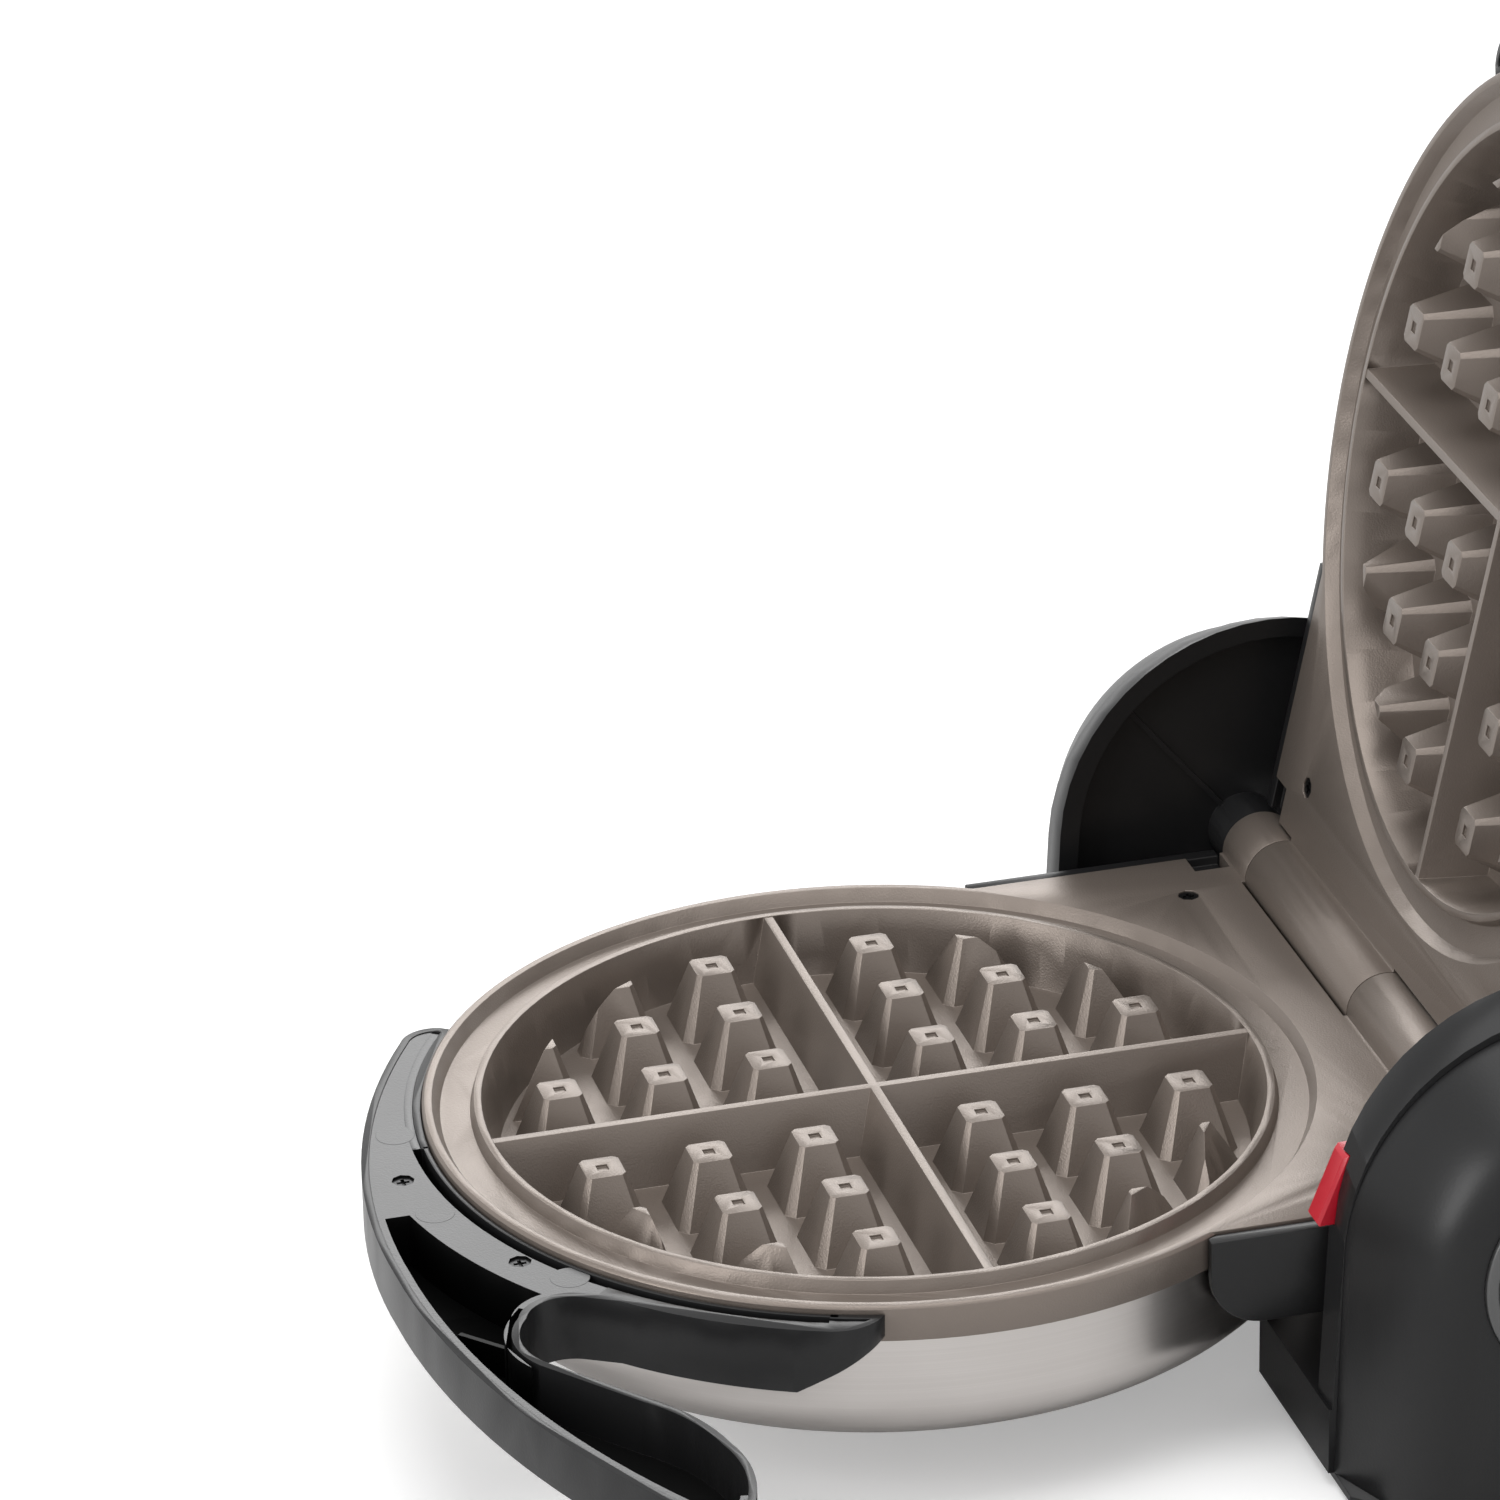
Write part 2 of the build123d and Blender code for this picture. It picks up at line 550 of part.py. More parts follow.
slot_outer = fit_radius + SLOT_WIDTH
arm_zone = sector(slot_outer - 1, ARM_RADIUS + 1, ARM_START - ARM_BLEND, TOE_END + ARM_BLEND)
handle_floor = level(HANDLE_DEPTH - PAN_FLOOR)
with BuildPart() as handle_pan:
    with BuildSketch(level(HANDLE_DEPTH)):
        add(hook_outline.sketch)
    extrude(amount=HANDLE_DEPTH - HANDLE_TOP)
    # bevel under the wall that faces the user
    under = handle_pan.faces().sort_by(Axis.Z)[0]
    user_side = -PLATE_REACH - 112
    lower_edges = [edge for edge in under.edges() if edge.length > 20 and edge.center().Y < user_side]
    chamfer(lower_edges, LOWER_EDGE)
    # hollow, all but the arm
    with BuildSketch(handle_floor):
        offset(hook_outline.sketch, amount=-PAN_WALL)
        add(arm_zone, mode=Mode.SUBTRACT)
    extrude(amount=HANDLE_DEPTH, mode=Mode.SUBTRACT)
    # slot between the rim and the band
    with BuildSketch(handle_floor):
        add(sector(fit_radius - 1, slot_outer, SLOT_START, SLOT_END))
    extrude(amount=HANDLE_DEPTH, mode=Mode.SUBTRACT)
    with Locations(*[(x, y - PLATE_REACH, AXIS_HEIGHT - HANDLE_DEPTH) for x, y in BAND_SCREWS]):
        post(SCREW_HOLE, -PAN_FLOOR, 2 * PAN_FLOOR, SMALL_SIDES, Mode.SUBTRACT)
save_pair(handle_pan.part, "handle_pan", handed=True)

trim_top = AXIS_HEIGHT - HANDLE_TOP - TRIM_DROP
with BuildPart() as handle_trim:
    with BuildSketch(level(HANDLE_DEPTH - PAN_FLOOR - SEAT)):
        offset(hook_outline.sketch, amount=-PAN_WALL - SEAT)
        Circle(slot_outer, mode=Mode.SUBTRACT)
        offset(arm_zone, amount=SEAT, mode=Mode.SUBTRACT)
    extrude(amount=HANDLE_DEPTH - PAN_FLOOR - SEAT - HANDLE_TOP - TRIM_DROP)
    with BuildSketch(level(HANDLE_DEPTH)):
        offset(hook_outline.sketch, amount=-PAN_WALL - LINER_WALL)
        Circle(BAND_RADIUS, mode=Mode.SUBTRACT)
        with Locations((RECESS_START, 0)):
            Rectangle(200, 300, align=(Align.MAX, Align.CENTER), mode=Mode.SUBTRACT)
    extrude(amount=HANDLE_DEPTH, mode=Mode.SUBTRACT)
    # thin rib across the recess
    with BuildSketch(level(HANDLE_DEPTH - PAN_FLOOR - SEAT)):
        with Locations(Location(RIB_MIDDLE, RIB_TURN)):
            Rectangle(RIB_LENGTH, RECESS_RIB)
    extrude(amount=HANDLE_DEPTH - PAN_FLOOR - SEAT - RECESS_RIB_TOP)
    with Locations(*[(x, y - PLATE_REACH, trim_top) for x, y in BAND_SCREWS]):
        post(SCREW_HOLE + 0.3, -HANDLE_DEPTH, 1, SMALL_SIDES, Mode.SUBTRACT)
        post(SCREW_HEAD + 0.2, -SCREW_HEAD_HEIGHT - 0.6, 1, SMALL_SIDES, Mode.SUBTRACT)
save_pair(handle_trim.part, "handle_trim", handed=True)

band_seat = trim_top - SCREW_HEAD_HEIGHT - 0.6 + SEAT
band_screws = screws([(x, y - PLATE_REACH, band_seat) for x, y in BAND_SCREWS], BAND_SCREW_LENGTH)
save_pair(band_screws, "handle_screws", handed=True)

# ================================================================== pedestals
def cheek_face(x, margin=0.0, bottom=BODY_BOTTOM, drop=0.0):
    """A pedestal's side view at this X: a round top on flanks that touch it, drawn in by a margin."""
    radius = CHEEK_RADIUS - margin
    middle_z = AXIS_HEIGHT + CHEEK_RISE - drop
    feet = [(FOOT_FRONT + margin, bottom), (FOOT_BACK - margin, bottom)]
    touches = []
    for foot, sense in zip(feet, (-1, 1)):
        away = (foot[0] - CHEEK_BACK, foot[1] - middle_z)
        touches.append(math.atan2(away[1], away[0]) + sense * math.acos(radius / math.hypot(*away)))
    sweep_angle = (touches[0] - touches[1]) % (2 * math.pi)
    bearings = [touches[1] + sweep_angle * step / RING_SIDES for step in range(RING_SIDES + 1)]
    top = []
    for bearing in bearings:
        top.append((CHEEK_BACK + radius * math.cos(bearing), middle_z + radius * math.sin(bearing)))
    with BuildSketch(Plane.YZ.offset(x)) as face:
        Polygon(*feet, *top, align=None)
    return face.sketch


def along_x(start, end, y=0.0, z=AXIS_HEIGHT):
    """Where a cylinder lies along X from start to end."""
    return Location(((start + end) / 2, y, z), (0, 90, 0))


foot_depth = FOOT_BACK - FOOT_FRONT
foot_middle = (FOOT_FRONT + FOOT_BACK) / 2
with BuildPart() as pedestal:
    loft([cheek_face(CHEEK_INNER), cheek_face(SEAM, drop=SEAM_DROP)], ruled=True)
    with BuildSketch(Plane.XY.offset(BODY_BOTTOM)):
        with Locations((FOOT_INNER, foot_middle)):
            Rectangle(SEAM - FOOT_INNER, foot_depth, align=(Align.MIN, Align.CENTER))
    extrude(amount=FOOT_TOP - BODY_BOTTOM)
    web_face = cheek_face(CHEEK_INNER, CHEEK_RIM, FOOT_TOP)
    extrude(web_face, amount=CHEEK_WEB - CHEEK_INNER, mode=Mode.SUBTRACT)
    with BuildSketch(Plane.XY.offset(BODY_BOTTOM)):
        with Locations((FOOT_INNER + BASE_WALL, foot_middle)):
            Rectangle(SEAM - FOOT_INNER - 2 * BASE_WALL, foot_depth - 2 * BASE_WALL,
                      align=(Align.MIN, Align.CENTER))
    extrude(amount=FOOT_TOP - BODY_BOTTOM - BASE_WALL, mode=Mode.SUBTRACT)
    hollow_start = CHEEK_WEB + WEB_WALL
    hollow_face = cheek_face(hollow_start, OUTER_WALL, FOOT_TOP, SEAM_DROP)
    extrude(hollow_face, amount=SEAM - hollow_start, mode=Mode.SUBTRACT)
    # stiffening rib that runs out from the hub
    with Locations(Location((CHEEK_WEB, 0, AXIS_HEIGHT), (RIB_BEARING, 0, 0))):
        Box(2 * RIB_HEIGHT, RIB_REACH, RIB_WIDTH, align=(Align.CENTER, Align.MIN, Align.CENTER))
    # hinge boss
    boss_start = KNUCKLE_END + SIDE_GAP
    with Locations(along_x(boss_start, BOSS_END)):
        Cylinder(BOSS_RADIUS, BOSS_END - boss_start)
        Cylinder(SHAFT_RADIUS + SEAT, 2 * BOSS_END, mode=Mode.SUBTRACT)
    with Locations(*[(BASE_SCREW_X, y, BODY_BOTTOM) for y in BASE_SCREW_Y]):
        Box(3 * SCREW_HEAD, 3 * SCREW_HEAD, FOOT_TOP - BODY_BOTTOM - 1,
            align=(Align.CENTER, Align.CENTER, Align.MIN))
        post(SCREW_HOLE, -1, FOOT_TOP / 2, SMALL_SIDES, Mode.SUBTRACT)
save(pedestal.part.mirror(Plane.YZ), "left_pedestal")

# the right one has a notch for the lock tab and a guide for its stem
stem_middle = ((LOCK_INNER + LOCK_OUTER) / 2, LOCK_LOW + LOCK_HEIGHT / 2)
with BuildPart() as right_pedestal:
    add(pedestal.part)
    notch_back = LOCK_BACK + LOCK_TRAVEL + SIDE_GAP
    with Locations((LOCK_INNER - SIDE_GAP, notch_back, LOCK_LOW - SIDE_GAP)):
        Box(LOCK_OUTER - LOCK_INNER + 2 * SIDE_GAP, 20, LOCK_HEIGHT + 2 * SIDE_GAP,
            align=(Align.MIN, Align.MAX, Align.MIN), mode=Mode.SUBTRACT)
    with Locations((CHEEK_WEB, GUIDE_FRONT, stem_middle[1])):
        Box(CHEEK_WEB - stem_middle[0] + STEM[0] / 2 + GUIDE_MARGIN, GUIDE_THICK, STEM[1] + 2 * GUIDE_MARGIN,
            align=(Align.MAX, Align.MIN, Align.CENTER))
    with Locations((stem_middle[0], GUIDE_FRONT, stem_middle[1])):
        Box(STEM[0] + 2 * SIDE_GAP, 4 * GUIDE_THICK, STEM[1] + 2 * SIDE_GAP, mode=Mode.SUBTRACT)
save(right_pedestal.part, "right_pedestal")

with BuildPart() as lock_tab:
    with BuildSketch(Plane.YZ.offset(LOCK_INNER)):
        with BuildLine():
            Polyline(
                (LOCK_FRONT_LOW, LOCK_LOW),
                (LOCK_FRONT_HIGH, LOCK_LOW + LOCK_HEIGHT),
                (LOCK_BACK, LOCK_LOW + LOCK_HEIGHT),
                (LOCK_BACK, LOCK_LOW),
                close=True,
            )
        make_face()
    extrude(amount=LOCK_OUTER - LOCK_INNER)
    chamfer(lock_tab.faces().sort_by(Axis.Y)[0].edges(), 0.8)
    guide_back = GUIDE_FRONT + GUIDE_THICK + SIDE_GAP
    with Locations((stem_middle[0], LOCK_BACK - 1, stem_middle[1])):
        Box(STEM[0], guide_back - LOCK_BACK + 2, STEM[1], align=(Align.CENTER, Align.MIN, Align.CENTER))
    with Locations((stem_middle[0], guide_back, stem_middle[1])):
        Box(STEM[0] + 2, 1.5, STEM[1] + 3, align=(Align.CENTER, Align.MIN, Align.CENTER))
save(lock_tab.part, "lock_tab")

# ================================================================== bridge, bottom plate, feet
bridge_half = FOOT_INNER - SEAT
outer_face = SEAM + OUTER_DEPTH
with BuildPart() as bridge:
    with Locations((0, BRIDGE_FRONT, BODY_BOTTOM)):
        Box(2 * bridge_half, FOOT_BACK - BRIDGE_FRONT, BRIDGE_TOP - BODY_BOTTOM,
            align=(Align.CENTER, Align.MIN, Align.MIN))
    chamfer(bridge.edges().filter_by(Axis.X).group_by(Axis.Z)[-1], BRIDGE_BEVEL)
    with Locations((0, BRIDGE_FRONT + BASE_WALL, BODY_BOTTOM)):
        Box(2 * (bridge_half - BASE_WALL), FOOT_BACK - BRIDGE_FRONT - 2 * BASE_WALL,
            2 * (BRIDGE_TOP - BODY_BOTTOM - BASE_WALL),
            align=(Align.CENTER, Align.MIN, Align.CENTER), mode=Mode.SUBTRACT)
    inlet_z = (BODY_BOTTOM + BRIDGE_TOP) / 2
    with Locations(Location((0, FOOT_BACK, inlet_z), (90, 0, 0))):
        Cylinder(INLET_RADIUS + SEAT, 4 * BASE_WALL, mode=Mode.SUBTRACT)
save(bridge.part, "base_bridge")

with BuildPart() as inlet:
    inlet_length = BASE_WALL + 2 * INLET_PROUD
    with Locations(Location((0, FOOT_BACK - BASE_WALL / 2, inlet_z), (90, 0, 0))):
        Cylinder(INLET_RADIUS, inlet_length)
        Cylinder(INLET_BORE, 2 * inlet_length, mode=Mode.SUBTRACT)
save(inlet.part, "cord_inlet")

with BuildPart() as bottom_plate:
    with BuildSketch(Plane.XY.offset(PLATE_BOTTOM)) as plan:
        with Locations((0, FOOT_BACK - PLATE_INSET)):
            Rectangle(2 * FOOT_INNER + 10, FOOT_BACK - BRIDGE_FRONT - 2 * PLATE_INSET,
                      align=(Align.CENTER, Align.MAX))
        for side in (-1, 1):
            with Locations((side * (FOOT_INNER + PLATE_INSET + outer_face - OUTER_WALL) / 2, foot_middle)):
                Rectangle(outer_face - OUTER_WALL - FOOT_INNER - PLATE_INSET, foot_depth - 2 * PLATE_INSET)
        outside = plan.vertices().group_by(Axis.X)
        chamfer(outside[0] + outside[-1], OUTER_ROUND - OUTER_WALL)
    extrude(amount=BODY_BOTTOM - SEAT - PLATE_BOTTOM)
    with Locations(*[(side * BASE_SCREW_X, y, PLATE_BOTTOM) for side in (-1, 1) for y in BASE_SCREW_Y]):
        post(SCREW_HOLE + 0.2, -1, BODY_BOTTOM, SMALL_SIDES, Mode.SUBTRACT)
save(bottom_plate.part, "bottom_plate")

pad_places = [(side * PAD_X, y, 0) for side in (-1, 1) for y in (PAD_FRONT, PAD_BACK)] + [(0, 0, 0)]
with BuildPart() as feet:
    with Locations(*pad_places):
        post(PAD_RADIUS, 0, PLATE_BOTTOM - SEAT)
save(feet.part, "rubber_feet")

# driven upwards from below
from_below = [(side * BASE_SCREW_X, y, -PLATE_BOTTOM + SEAT) for side in (-1, 1) for y in BASE_SCREW_Y]
save(screws(from_below, BASE_SCREW_LENGTH).mirror(Plane.XY), "base_screws")

# ================================================================== shaft
with BuildPart() as shaft:
    with Locations(along_x(-SHAFT_END, SHAFT_END)):
        Cylinder(SHAFT_RADIUS, 2 * SHAFT_END)
        Cylinder(SHAFT_BORE, 3 * SHAFT_END, mode=Mode.SUBTRACT)
save(shaft.part, "hinge_shaft")

with BuildPart() as clips:
    for side in (-1, 1):
        with BuildSketch(Plane.YZ.offset(side * (BOSS_END + SEAT))):
            with Locations((0, AXIS_HEIGHT)):
                RegularPolygon(CLIP_RADIUS, RING_SIDES)
        extrude(amount=side * CLIP_SHEET)
    with Locations(along_x(-SHAFT_END, SHAFT_END)):
        Cylinder(SHAFT_RADIUS + SEAT, 3 * SHAFT_END, mode=Mode.SUBTRACT)
save(clips.part, "shaft_clips")

# ================================================================== outer covers
# The rounding of the outer face is straight steps along a quarter circle.
outside = [(CHEEK_RADIUS, SEAM + SEAT)]
for step in range(OUTER_STEPS + 1):
    turn = math.radians(90 * step / OUTER_STEPS)
    inset = OUTER_ROUND * (1 - math.cos(turn))
    outside.append((CHEEK_RADIUS - inset, outer_face - OUTER_ROUND * (1 - math.sin(turn))))
hollow = [
    (CHEEK_RADIUS - OUTER_WALL, SEAM),
    (CHEEK_RADIUS - OUTER_WALL, outer_face - OUTER_WALL - OUTER_INNER_BEVEL),
    (CHEEK_RADIUS - OUTER_WALL - OUTER_INNER_BEVEL, outer_face - OUTER_WALL),
]
below = BODY_BOTTOM - 2 * OUTER_ROUND
with BuildPart() as outer_cover:
    add(drawn_out(cheek_face(SEAM + SEAT, 0.0, below, SEAM_DROP).face(), outside))
    hollow_face = cheek_face(SEAM, OUTER_WALL, below - OUTER_ROUND, SEAM_DROP)
    add(drawn_out(hollow_face.face(), hollow), mode=Mode.SUBTRACT)
    with Locations((SEAM, 0, BODY_BOTTOM)):
        Box(3 * OUTER_DEPTH, 3 * CHEEK_RADIUS, 6 * OUTER_ROUND,
            align=(Align.CENTER, Align.CENTER, Align.MAX), mode=Mode.SUBTRACT)
save(outer_cover.part.mirror(Plane.YZ), "left_outer_cover")

panel_z = AXIS_HEIGHT + PANEL_RISE
panel_radius = BEZEL_RADIUS - BEZEL_WIDTH
with BuildPart() as right_cover:
    add(outer_cover.part)
    with BuildSketch(Plane.YZ.offset(outer_face + 1)):
        with Locations((0, panel_z)):
            RegularPolygon(panel_radius + SEAT, LARGE_SIDES)
    extrude(amount=-OUTER_DEPTH / 2, mode=Mode.SUBTRACT)
    with BuildSketch(Plane.YZ.offset(BOARD_FRONT + SEAT)):
        with Locations((0, panel_z)):
            with GridLocations(2 * STANDOFF[0], 2 * STANDOFF[1], 2, 2):
                RegularPolygon(STANDOFF_RADIUS, SMALL_SIDES)
    extrude(amount=outer_face - OUTER_WALL / 2 - BOARD_FRONT - SEAT)
save(right_cover.part, "right_outer_cover")

# ================================================================== controls
with BuildPart() as bezel:
    with BuildSketch(Plane.YZ.offset(outer_face + SEAT)):
        with Locations((0, panel_z)):
            RegularPolygon(BEZEL_RADIUS, LARGE_SIDES)
            RegularPolygon(panel_radius, LARGE_SIDES, mode=Mode.SUBTRACT)
    extrude(amount=BEZEL_PROUD)
save(bezel.part, "control_bezel")

panel_front = outer_face + PANEL_PROUD
panel_back = panel_front - PANEL_THICK
button_places = {"minus_button": MINUS_AT, "plus_button": PLUS_AT, "start_button": START_AT}
with BuildPart() as panel:
    with BuildSketch(Plane.YZ.offset(panel_back)):
        with Locations((0, panel_z)):
            RegularPolygon(panel_radius, LARGE_SIDES)
            with Locations(*button_places.values()):
                RegularPolygon(BUTTON_RADIUS + BUTTON_GAP, RING_SIDES, mode=Mode.SUBTRACT)
            with Locations(LIGHT_AT):
                RegularPolygon(LIGHT_RADIUS + SEAT, SMALL_SIDES, mode=Mode.SUBTRACT)
            with Locations(WINDOW_AT):
                Rectangle(WINDOW[0] + 2 * SEAT, WINDOW[1] + 2 * SEAT, mode=Mode.SUBTRACT)
    extrude(amount=PANEL_THICK)
save(panel.part, "control_face")

with BuildPart() as window:
    with BuildSketch(Plane.YZ.offset(panel_back)):
        with Locations((WINDOW_AT[0], panel_z + WINDOW_AT[1])):
            Rectangle(*WINDOW)
    extrude(amount=PANEL_THICK)
save(window.part, "display_window")

with BuildPart() as module:
    with BuildSketch(Plane.YZ.offset(BOARD_FRONT + SEAT)):
        with Locations((WINDOW_AT[0], panel_z + WINDOW_AT[1])):
            Rectangle(WINDOW[0] + 2, WINDOW[1] + 2)
    extrude(amount=panel_back - BOARD_FRONT - 2 * SEAT)
save(module.part, "display_module")

with BuildPart() as board:
    with BuildSketch(Plane.YZ.offset(BOARD_FRONT)):
        with Locations((0, panel_z)):
            Rectangle(BOARD[0], BOARD[1])
    extrude(amount=-BOARD[2])
save(board.part, "circuit_board")

with BuildPart() as light:
    with BuildSketch(Plane.YZ.offset(BOARD_FRONT + SEAT)):
        with Locations((LIGHT_AT[0], panel_z + LIGHT_AT[1])):
            RegularPolygon(LIGHT_RADIUS, SMALL_SIDES)
    extrude(amount=panel_front + 0.3 - BOARD_FRONT - SEAT)
save(light.part, "ready_light")

button_front = panel_front + BUTTON_PROUD
button_back = BOARD_FRONT + BUTTON_TRAVEL + BUTTON_GAP
flange_front = panel_back - BUTTON_GAP
for name, (y, z) in button_places.items():
    with BuildPart() as button:
        with BuildSketch(Plane.YZ.offset(button_back)):
            with Locations((y, panel_z + z)):
                RegularPolygon(BUTTON_RADIUS, RING_SIDES)
        extrude(amount=button_front - button_back)
        with Locations((flange_front, y, panel_z + z)):
            Box(BUTTON_FLANGE, BUTTON_RADIUS, 2 * (BUTTON_RADIUS + BUTTON_FLANGE),
                align=(Align.MAX, Align.CENTER, Align.CENTER))
    save(button.part, name)
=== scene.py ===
# %% [markdown]
# # A flip-over round waffle maker
# The machine has two gridded plates on one hinge shaft, between two round-topped pedestals.
# The solid model gives every piece its true size. This script gives each one its looks: soft
# edges, fine forms and procedural materials. It starts by loading that model as a fixed frame.

# %% Load the frame
import json
import math

import bmesh
import bpy
from mathutils import Matrix, Vector


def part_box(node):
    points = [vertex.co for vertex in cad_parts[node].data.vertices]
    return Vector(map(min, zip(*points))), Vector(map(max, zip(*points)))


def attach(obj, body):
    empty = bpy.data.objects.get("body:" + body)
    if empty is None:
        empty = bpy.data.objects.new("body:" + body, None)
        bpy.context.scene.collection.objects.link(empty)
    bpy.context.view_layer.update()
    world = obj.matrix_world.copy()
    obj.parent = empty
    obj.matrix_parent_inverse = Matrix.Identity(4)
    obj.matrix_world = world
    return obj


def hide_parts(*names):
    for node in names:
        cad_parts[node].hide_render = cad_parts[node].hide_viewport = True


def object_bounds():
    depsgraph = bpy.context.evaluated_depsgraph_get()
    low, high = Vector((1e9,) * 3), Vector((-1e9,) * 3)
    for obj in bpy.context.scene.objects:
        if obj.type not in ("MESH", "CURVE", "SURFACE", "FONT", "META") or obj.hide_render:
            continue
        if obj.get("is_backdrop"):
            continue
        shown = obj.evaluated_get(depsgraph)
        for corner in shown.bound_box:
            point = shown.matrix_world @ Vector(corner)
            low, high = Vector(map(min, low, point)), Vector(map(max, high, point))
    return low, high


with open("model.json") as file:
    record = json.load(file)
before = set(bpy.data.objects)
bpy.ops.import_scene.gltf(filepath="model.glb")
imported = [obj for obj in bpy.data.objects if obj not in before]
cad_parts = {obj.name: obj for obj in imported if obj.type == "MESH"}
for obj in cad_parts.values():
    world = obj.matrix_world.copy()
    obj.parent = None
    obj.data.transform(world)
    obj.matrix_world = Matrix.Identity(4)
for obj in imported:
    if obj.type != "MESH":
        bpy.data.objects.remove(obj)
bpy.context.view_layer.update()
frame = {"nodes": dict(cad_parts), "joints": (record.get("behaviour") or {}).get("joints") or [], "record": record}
nodes = frame["nodes"]
MM = 0.001
print("pieces in the frame:", len(nodes))

# %% [markdown]
# ## Where things are
# All places are worked out from the frame's own boxes. The hinge axis runs along X through the
# middle of the shaft, and a plate's middle is found from the round shell below it.

# %% Measure the frame
def middle(node):
    low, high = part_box(node)
    return (low + high) / 2


def size(node):
    low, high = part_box(node)
    return high - low


hinge = middle("hinge_shaft")
plate_middle = middle("lower_shell")
cover_hinge = next(joint for joint in frame["joints"] if joint["name"] == "cover_hinge")
open_angle = math.radians(max(abs(limit) for limit in cover_hinge["range_deg"]))
to_hinge = Matrix.Translation((0, 0, hinge.z))
swing_open = to_hinge @ Matrix.Rotation(-open_angle, 4, "X") @ to_hinge.inverted()
turn_over = to_hinge @ Matrix.Rotation(math.pi, 4, "Y") @ to_hinge.inverted()
to_cover = swing_open @ turn_over

# A place that carries a shape, drawn round a plate's middle in the meeting plane, to either half.
# Round pieces turn over with the half. The handles are mirror images, so theirs is a reflection.
on_plate = Matrix.Translation((plate_middle.x, plate_middle.y, hinge.z))
reflected = to_hinge @ Matrix.Scale(-1, 4, (0, 0, 1)) @ to_hinge.inverted()
round_place = {"lower": on_plate, "cover": to_cover @ on_plate}
handed_place = {"lower": on_plate, "cover": swing_open @ reflected @ on_plate}
print("hinge height", round(hinge.z, 4), "plate middle", tuple(round(v, 4) for v in plate_middle))

# %% [markdown]
# ## Camera
# A long lens stands far off, so that the round plates keep their shape. Its place and turn are
# three angles: how far round, how far up, and a slight roll of the tripod head.

# %% Place the camera
AROUND, ABOVE, ROLL = math.radians(75.05), math.radians(25.36), math.radians(-1.21)
look = Vector((-math.sin(AROUND) * math.cos(ABOVE), math.cos(AROUND) * math.cos(ABOVE), -math.sin(ABOVE)))
level_right = Vector((math.cos(AROUND), math.sin(AROUND), 0))
level_up = level_right.cross(look)
right = level_right * math.cos(ROLL) + level_up * math.sin(ROLL)
up = level_up * math.cos(ROLL) - level_right * math.sin(ROLL)
turned = Matrix((right, up, -look)).transposed().to_4x4()
lens = bpy.data.cameras.new("studio_camera")
lens.sensor_width = 36
lens.lens = 185.9
lens.clip_end = 50
camera = bpy.data.objects.new("studio_camera", lens)
camera.matrix_world = Matrix.Translation((1.5444, -0.5672, 0.9081)) @ turned
bpy.context.scene.collection.objects.link(camera)
bpy.context.scene.camera = camera
print("camera looks along", tuple(round(v, 3) for v in look))

# %% [markdown]
# ## Shader tools
# Materials are built from nodes in code. Two small helpers keep that short: one adds a node and
# sets its plain values, and one starts a material with a Principled shader, the shader that
# covers plastics, metals and coatings alike.

# %% Helpers for nodes
def add_node(tree, kind, sockets=None, **settings):
    made = tree.nodes.new(kind)
    for name, value in settings.items():
        setattr(made, name, value)
    for name, value in (sockets or {}).items():
        if isinstance(value, bpy.types.NodeSocket):
            tree.links.new(value, made.inputs[name])
        else:
            made.inputs[name].default_value = value
    return made


def start_material(name, **sockets):
    material = bpy.data.materials.new(name)
    material.use_nodes = True
    tree = material.node_tree
    shader = tree.nodes["Principled BSDF"]
    for socket, value in sockets.items():
        shader.inputs[socket.replace("_", " ")].default_value = value
    return material, tree, shader


# %% [markdown]
# ## Effects that several finishes share
# A node group is a reusable effect. The first one gives the slight unevenness of a moulded or
# coated surface: a large soft variation for colour and gloss, and a fine grain for the bump. The
# second one draws fine brushing round a turned shell, from the angle and height of each point.

# %% Group: surface unevenness
GRAIN_HEIGHT = 0.2 * MM
STREAK_HEIGHT = 0.1 * MM


def start_group(name, inputs, outputs):
    group = bpy.data.node_groups.new(name, "ShaderNodeTree")
    for label, kind, value in inputs:
        socket = group.interface.new_socket(label, in_out="INPUT", socket_type=kind)
        if value is not None:
            socket.default_value = value
    for label, kind in outputs:
        group.interface.new_socket(label, in_out="OUTPUT", socket_type=kind)
    return group, group.nodes.new("NodeGroupInput"), group.nodes.new("NodeGroupOutput")


